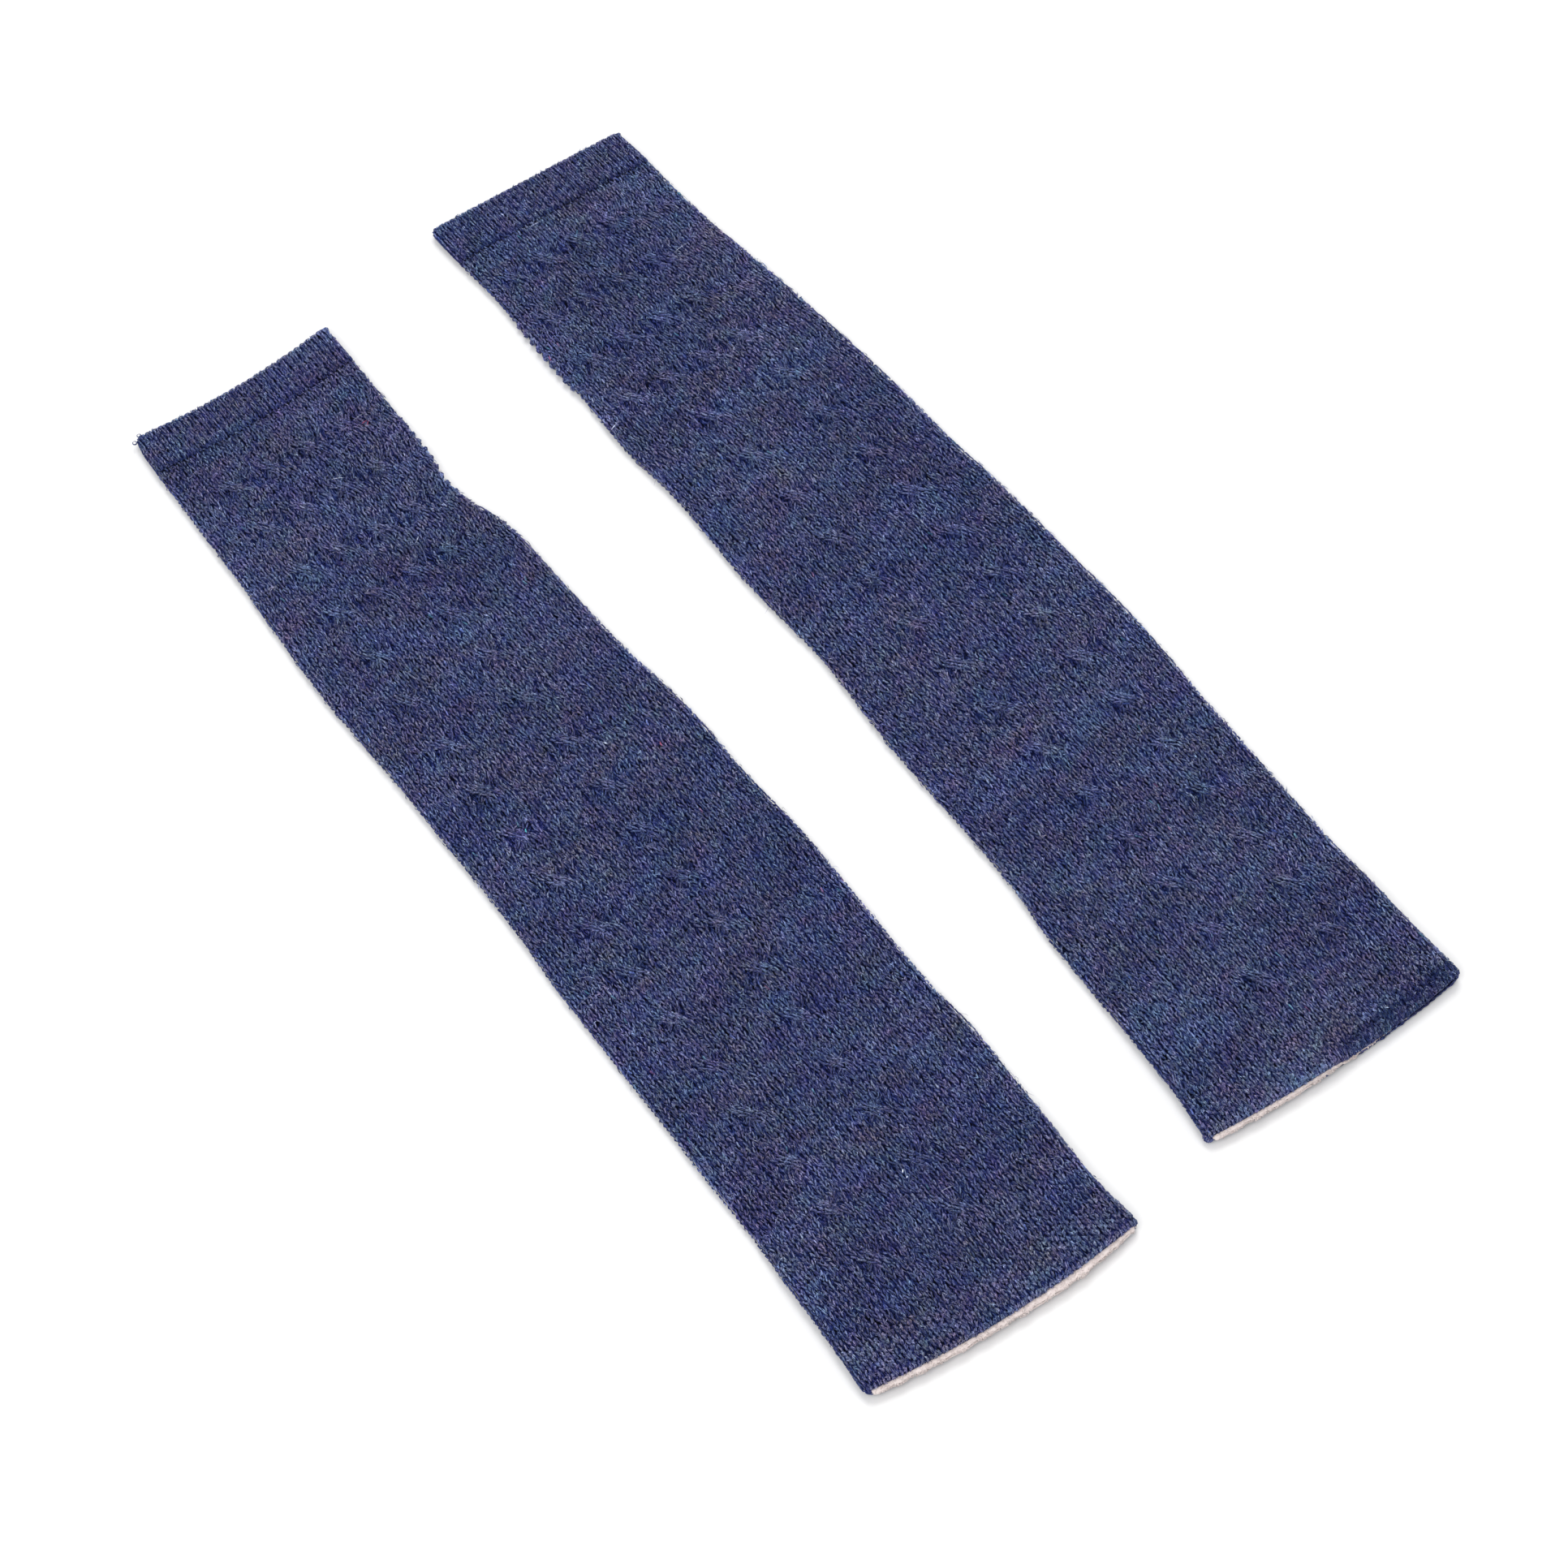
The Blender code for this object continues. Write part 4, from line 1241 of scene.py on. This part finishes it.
# Marks: heading in degrees from the hand towards +X, length and width in millimetres, curl in radians
Mark = namedtuple("Mark", "along across heading length curl width light shade")
MARK_STEPS = 11
RED = 0.0002
TEAL = 0.0015
WHITE = 0.0080
MARKS = {
    "left_mitt": rows_of(
        Mark,
        (331.4, 2.2, 40, 1.2, 0.0, 0.38, 1.0, WHITE), (333.3, 2.0, 60, 0.7, 0.0, 0.34, 0.9, WHITE),
        (342.1, 6.1, 95, 4.6, 0.3, 0.10, 0.7, WHITE), (352.8, 36.2, 10, 9.0, 4.6, 0.10, 0.3, WHITE),
        (351.2, 37.4, 190, 7.0, 3.4, 0.10, 0.3, WHITE), (33.2, 20.8, 80, 4.2, 0.5, 0.10, 0.4, WHITE),
        (47.7, 3.6, 105, 4.4, 0.4, 0.11, 0.6, WHITE), (80.6, 11.4, 50, 2.8, 0.0, 0.20, 0.3, WHITE),
        (179.4, 29.1, 10, 1.8, 0.4, 0.40, 0.2, RED), (181.9, -18.9, 25, 2.0, 0.5, 0.40, 0.5, TEAL),
        (36.2, 22.0, 70, 2.6, 0.6, 0.26, 0.2, RED), (37.4, 23.4, 40, 2.2, 0.9, 0.26, 0.1, RED),
    ),
    "right_mitt": rows_of(
        Mark,
        (48.7, 17.8, 82, 6.4, 0.3, 0.10, 0.4, WHITE), (90.2, -35.0, 70, 3.6, 0.1, 0.12, 0.8, WHITE),
        (15.9, -10.9, 88, 4.4, 0.1, 0.11, 0.4, WHITE), (128.0, 12.0, 60, 5.0, 0.9, 0.10, 0.3, WHITE),
        (59.4, -34.0, 15, 2.2, 0.8, 0.30, 0.2, RED),
    ),
}
# Rings of yarn at the left mitt's hand corner: place along and across, height and radius in millimetres
RINGS = ((-0.5, -32.2, 2.9, 0.62), (0.9, -34.5, 2.4, 0.62))
RING_TURNS = np.linspace(0, 2 * pi, 10)
RING_WIDTH = 0.44
RING_LIGHT = 0.3


def edge_loops(mitt):
    """Lines of the small loops along the hand edge, one for each wale."""
    wales = (WALES[:, None] + LOOP_HALF_WIDTH * np.cos(LOOP_STEPS)).reshape(1, -1)
    points, _, _, exists = cloth_grid(mitt, HAND_BAND, np.zeros(1), wales, LOOP_INSET, 0)
    points = points.reshape(len(WALES), len(LOOP_STEPS), 3)
    out_x, out_y = turn_points(mitt, 0, LOOP_REACH * np.sin(LOOP_STEPS) * MM)
    points[..., 0] += out_x
    points[..., 1] += out_y
    return points[exists.reshape(len(WALES), -1).all(axis=1)]


def ball_seats(middle, radius, legs, rng):
    """Seats of short stitches all round a small ball of yarn."""
    turn = np.arange(legs) * GOLDEN_ANGLE
    rise = np.linspace(-1, 1, legs)
    flat = np.sqrt(1 - rise ** 2)
    up = np.stack([np.cos(turn) * flat, np.sin(turn) * flat, rise], axis=-1)
    run = unit(np.cross(up, rng.normal(0, 1, up.shape)))
    size = np.tile(KNOT_LEG_SIZE, (legs, 1))
    light = np.clip(rng.normal(*KNOT_LIGHT, legs), 0, 1)
    return Seats(middle + up * radius * MM, run, up, size, light, rng.uniform(FLECK_SHARE, 1, legs))


def slit_knots(mitt, rng):
    """Seats of the knots along both lips of the thumb slit."""
    along = np.arange(mitt.thumb.start + KNOT_MARGIN, mitt.thumb.end, KNOT_SPACING)
    across, height = tube_outline(mitt, BODY, along, KNOT_INSET)
    lips = (slit_column(mitt), slit_column(mitt) + 1)
    middles = np.concatenate([lay_points(mitt, along, across[:, lip], height[:, lip]) for lip in lips])
    return join_seats(*(ball_seats(middle, KNOT_RADIUS, KNOT_LEGS, rng) for middle in middles))


def mark_line(mitt, mark):
    """Line of one listed hair or fleck, lying on the upper layer."""
    heading = radians(mark.heading) + mark.curl * np.linspace(-0.5, 0.5, MARK_STEPS)
    across = mark.across + np.cumsum(np.sin(heading)) * mark.length / MARK_STEPS
    along = mark.along - np.cumsum(np.cos(heading)) * mark.length / MARK_STEPS
    outline, height = tube_outline(mitt, BODY, along, 0)
    rows = zip(across, outline[:, TOP_FACE], height[:, TOP_FACE])
    top = np.array([np.interp(*row) for row in rows])
    return lay_points(mitt, along, across, top + mark.width / 2)


for mitt in MITTS:
    rng = np.random.default_rng(mitt.seed + 300)
    loops = edge_loops(mitt)
    light = np.clip(rng.normal(*LOOP_LIGHT, len(loops)), 0, 1)
    draw_hairs(mitt.name + "_hand_edge_loops", loops, LOOP_WIDTH, light, EVEN, STITCH_WOOL)
    set_on_cloth(mitt.name + "_slit_knots", slit_knots(mitt, rng), LEG, STITCH_WOOL)
    lines = np.array([mark_line(mitt, mark) for mark in MARKS[mitt.name]])
    width, light, shade = zip(*((mark.width, mark.light, mark.shade) for mark in MARKS[mitt.name]))
    draw_hairs(mitt.name + "_marks", lines, width, light, shade, FLECK_WOOL)
knobs = join_seats(*(ball_seats(lay_points(k.mitt, *k.place), k.radius, k.legs, rng) for k in KNOBS))
set_on_cloth("corner_knobs", knobs, LEG, STITCH_WOOL)
round_along, round_across = -np.cos(RING_TURNS), np.sin(RING_TURNS)
rings = [
    lay_points(LEFT_MITT, along + radius * round_along, across + radius * round_across, height)
    for along, across, height, radius in RINGS
]
draw_hairs("left_mitt_corner_rings", np.array(rings), RING_WIDTH, RING_LIGHT, EVEN, STITCH_WOOL)

# The floor, the light and the camera
# They aren't part of the mitts: a plain white floor, soft light from all round with a little more from
# behind and from the front, and a long lens that looks down along the mitts as in the photograph.
CAMERA_LENS = 158.4
CAMERA_AZIMUTH = -36.06
CAMERA_ELEVATION = 56.36
CAMERA_DISTANCE = 1.944
CAMERA_AIM = (-0.0078, -0.0212, 0.0)
SENSOR_WIDTH = 36.0
FLOOR_HALF = 6.0
FLOOR_FINISH = {"Base Color": (0.9, 0.9, 0.9, 1), "Roughness": 0.9, "Specular IOR Level": 0.1}
ROOM_LIGHT = {"Color": (1, 1, 1, 1), "Strength": 0.66}
# Square lights that look at the middle of the pair from this far, azimuth and elevation in degrees
LIGHT_DISTANCE = 4.4
AreaLight = namedtuple("AreaLight", "name azimuth elevation size power")
LIGHTS = (
    AreaLight("key from behind", 150, 65, 1.9, 68.0),
    AreaLight("fill from the front", -60, 55, 2.6, 78.0),
)

floor_mesh = bpy.data.meshes.new("floor")
corners = [(x * FLOOR_HALF, y * FLOOR_HALF, 0) for x, y in ((-1, -1), (1, -1), (1, 1), (-1, 1))]
floor_mesh.from_pydata(corners, [], [(0, 1, 2, 3)])
floor_mesh.materials.append(new_material("white floor", FLOOR_FINISH)[0])
add_object("floor", floor_mesh)

world = bpy.data.worlds.new("studio")
world.use_nodes = True
set_inputs(world.node_tree, world.node_tree.nodes["Background"], ROOM_LIGHT)
bpy.context.scene.world = world


def aimed(azimuth, elevation, distance, target):
    """Placing of a camera or light that looks at a target from a direction in degrees."""
    azimuth, elevation = radians(azimuth), radians(elevation)
    back = Vector((sin(azimuth) * cos(elevation), -cos(azimuth) * cos(elevation), sin(elevation)))
    turn = back.to_track_quat("Z", "Y").to_matrix().to_4x4()
    return Matrix.Translation(Vector(target) + back * distance) @ turn


for lamp in LIGHTS:
    light = bpy.data.lights.new(lamp.name, "AREA")
    light.size = lamp.size
    light.energy = lamp.power
    place = aimed(lamp.azimuth, lamp.elevation, LIGHT_DISTANCE, (0, 0, 0))
    add_object(lamp.name, light).matrix_world = place

camera_data = bpy.data.cameras.new("camera")
camera_data.lens = CAMERA_LENS
camera_data.sensor_width = SENSOR_WIDTH
camera = add_object("camera", camera_data)
camera.matrix_world = aimed(CAMERA_AZIMUTH, CAMERA_ELEVATION, CAMERA_DISTANCE, CAMERA_AIM)
bpy.context.scene.camera = camera
bpy.context.scene.view_settings.view_transform = "Standard"

for shape in (LEG, PLAIN_LEG, FIBRE):
    bpy.data.objects.remove(shape)
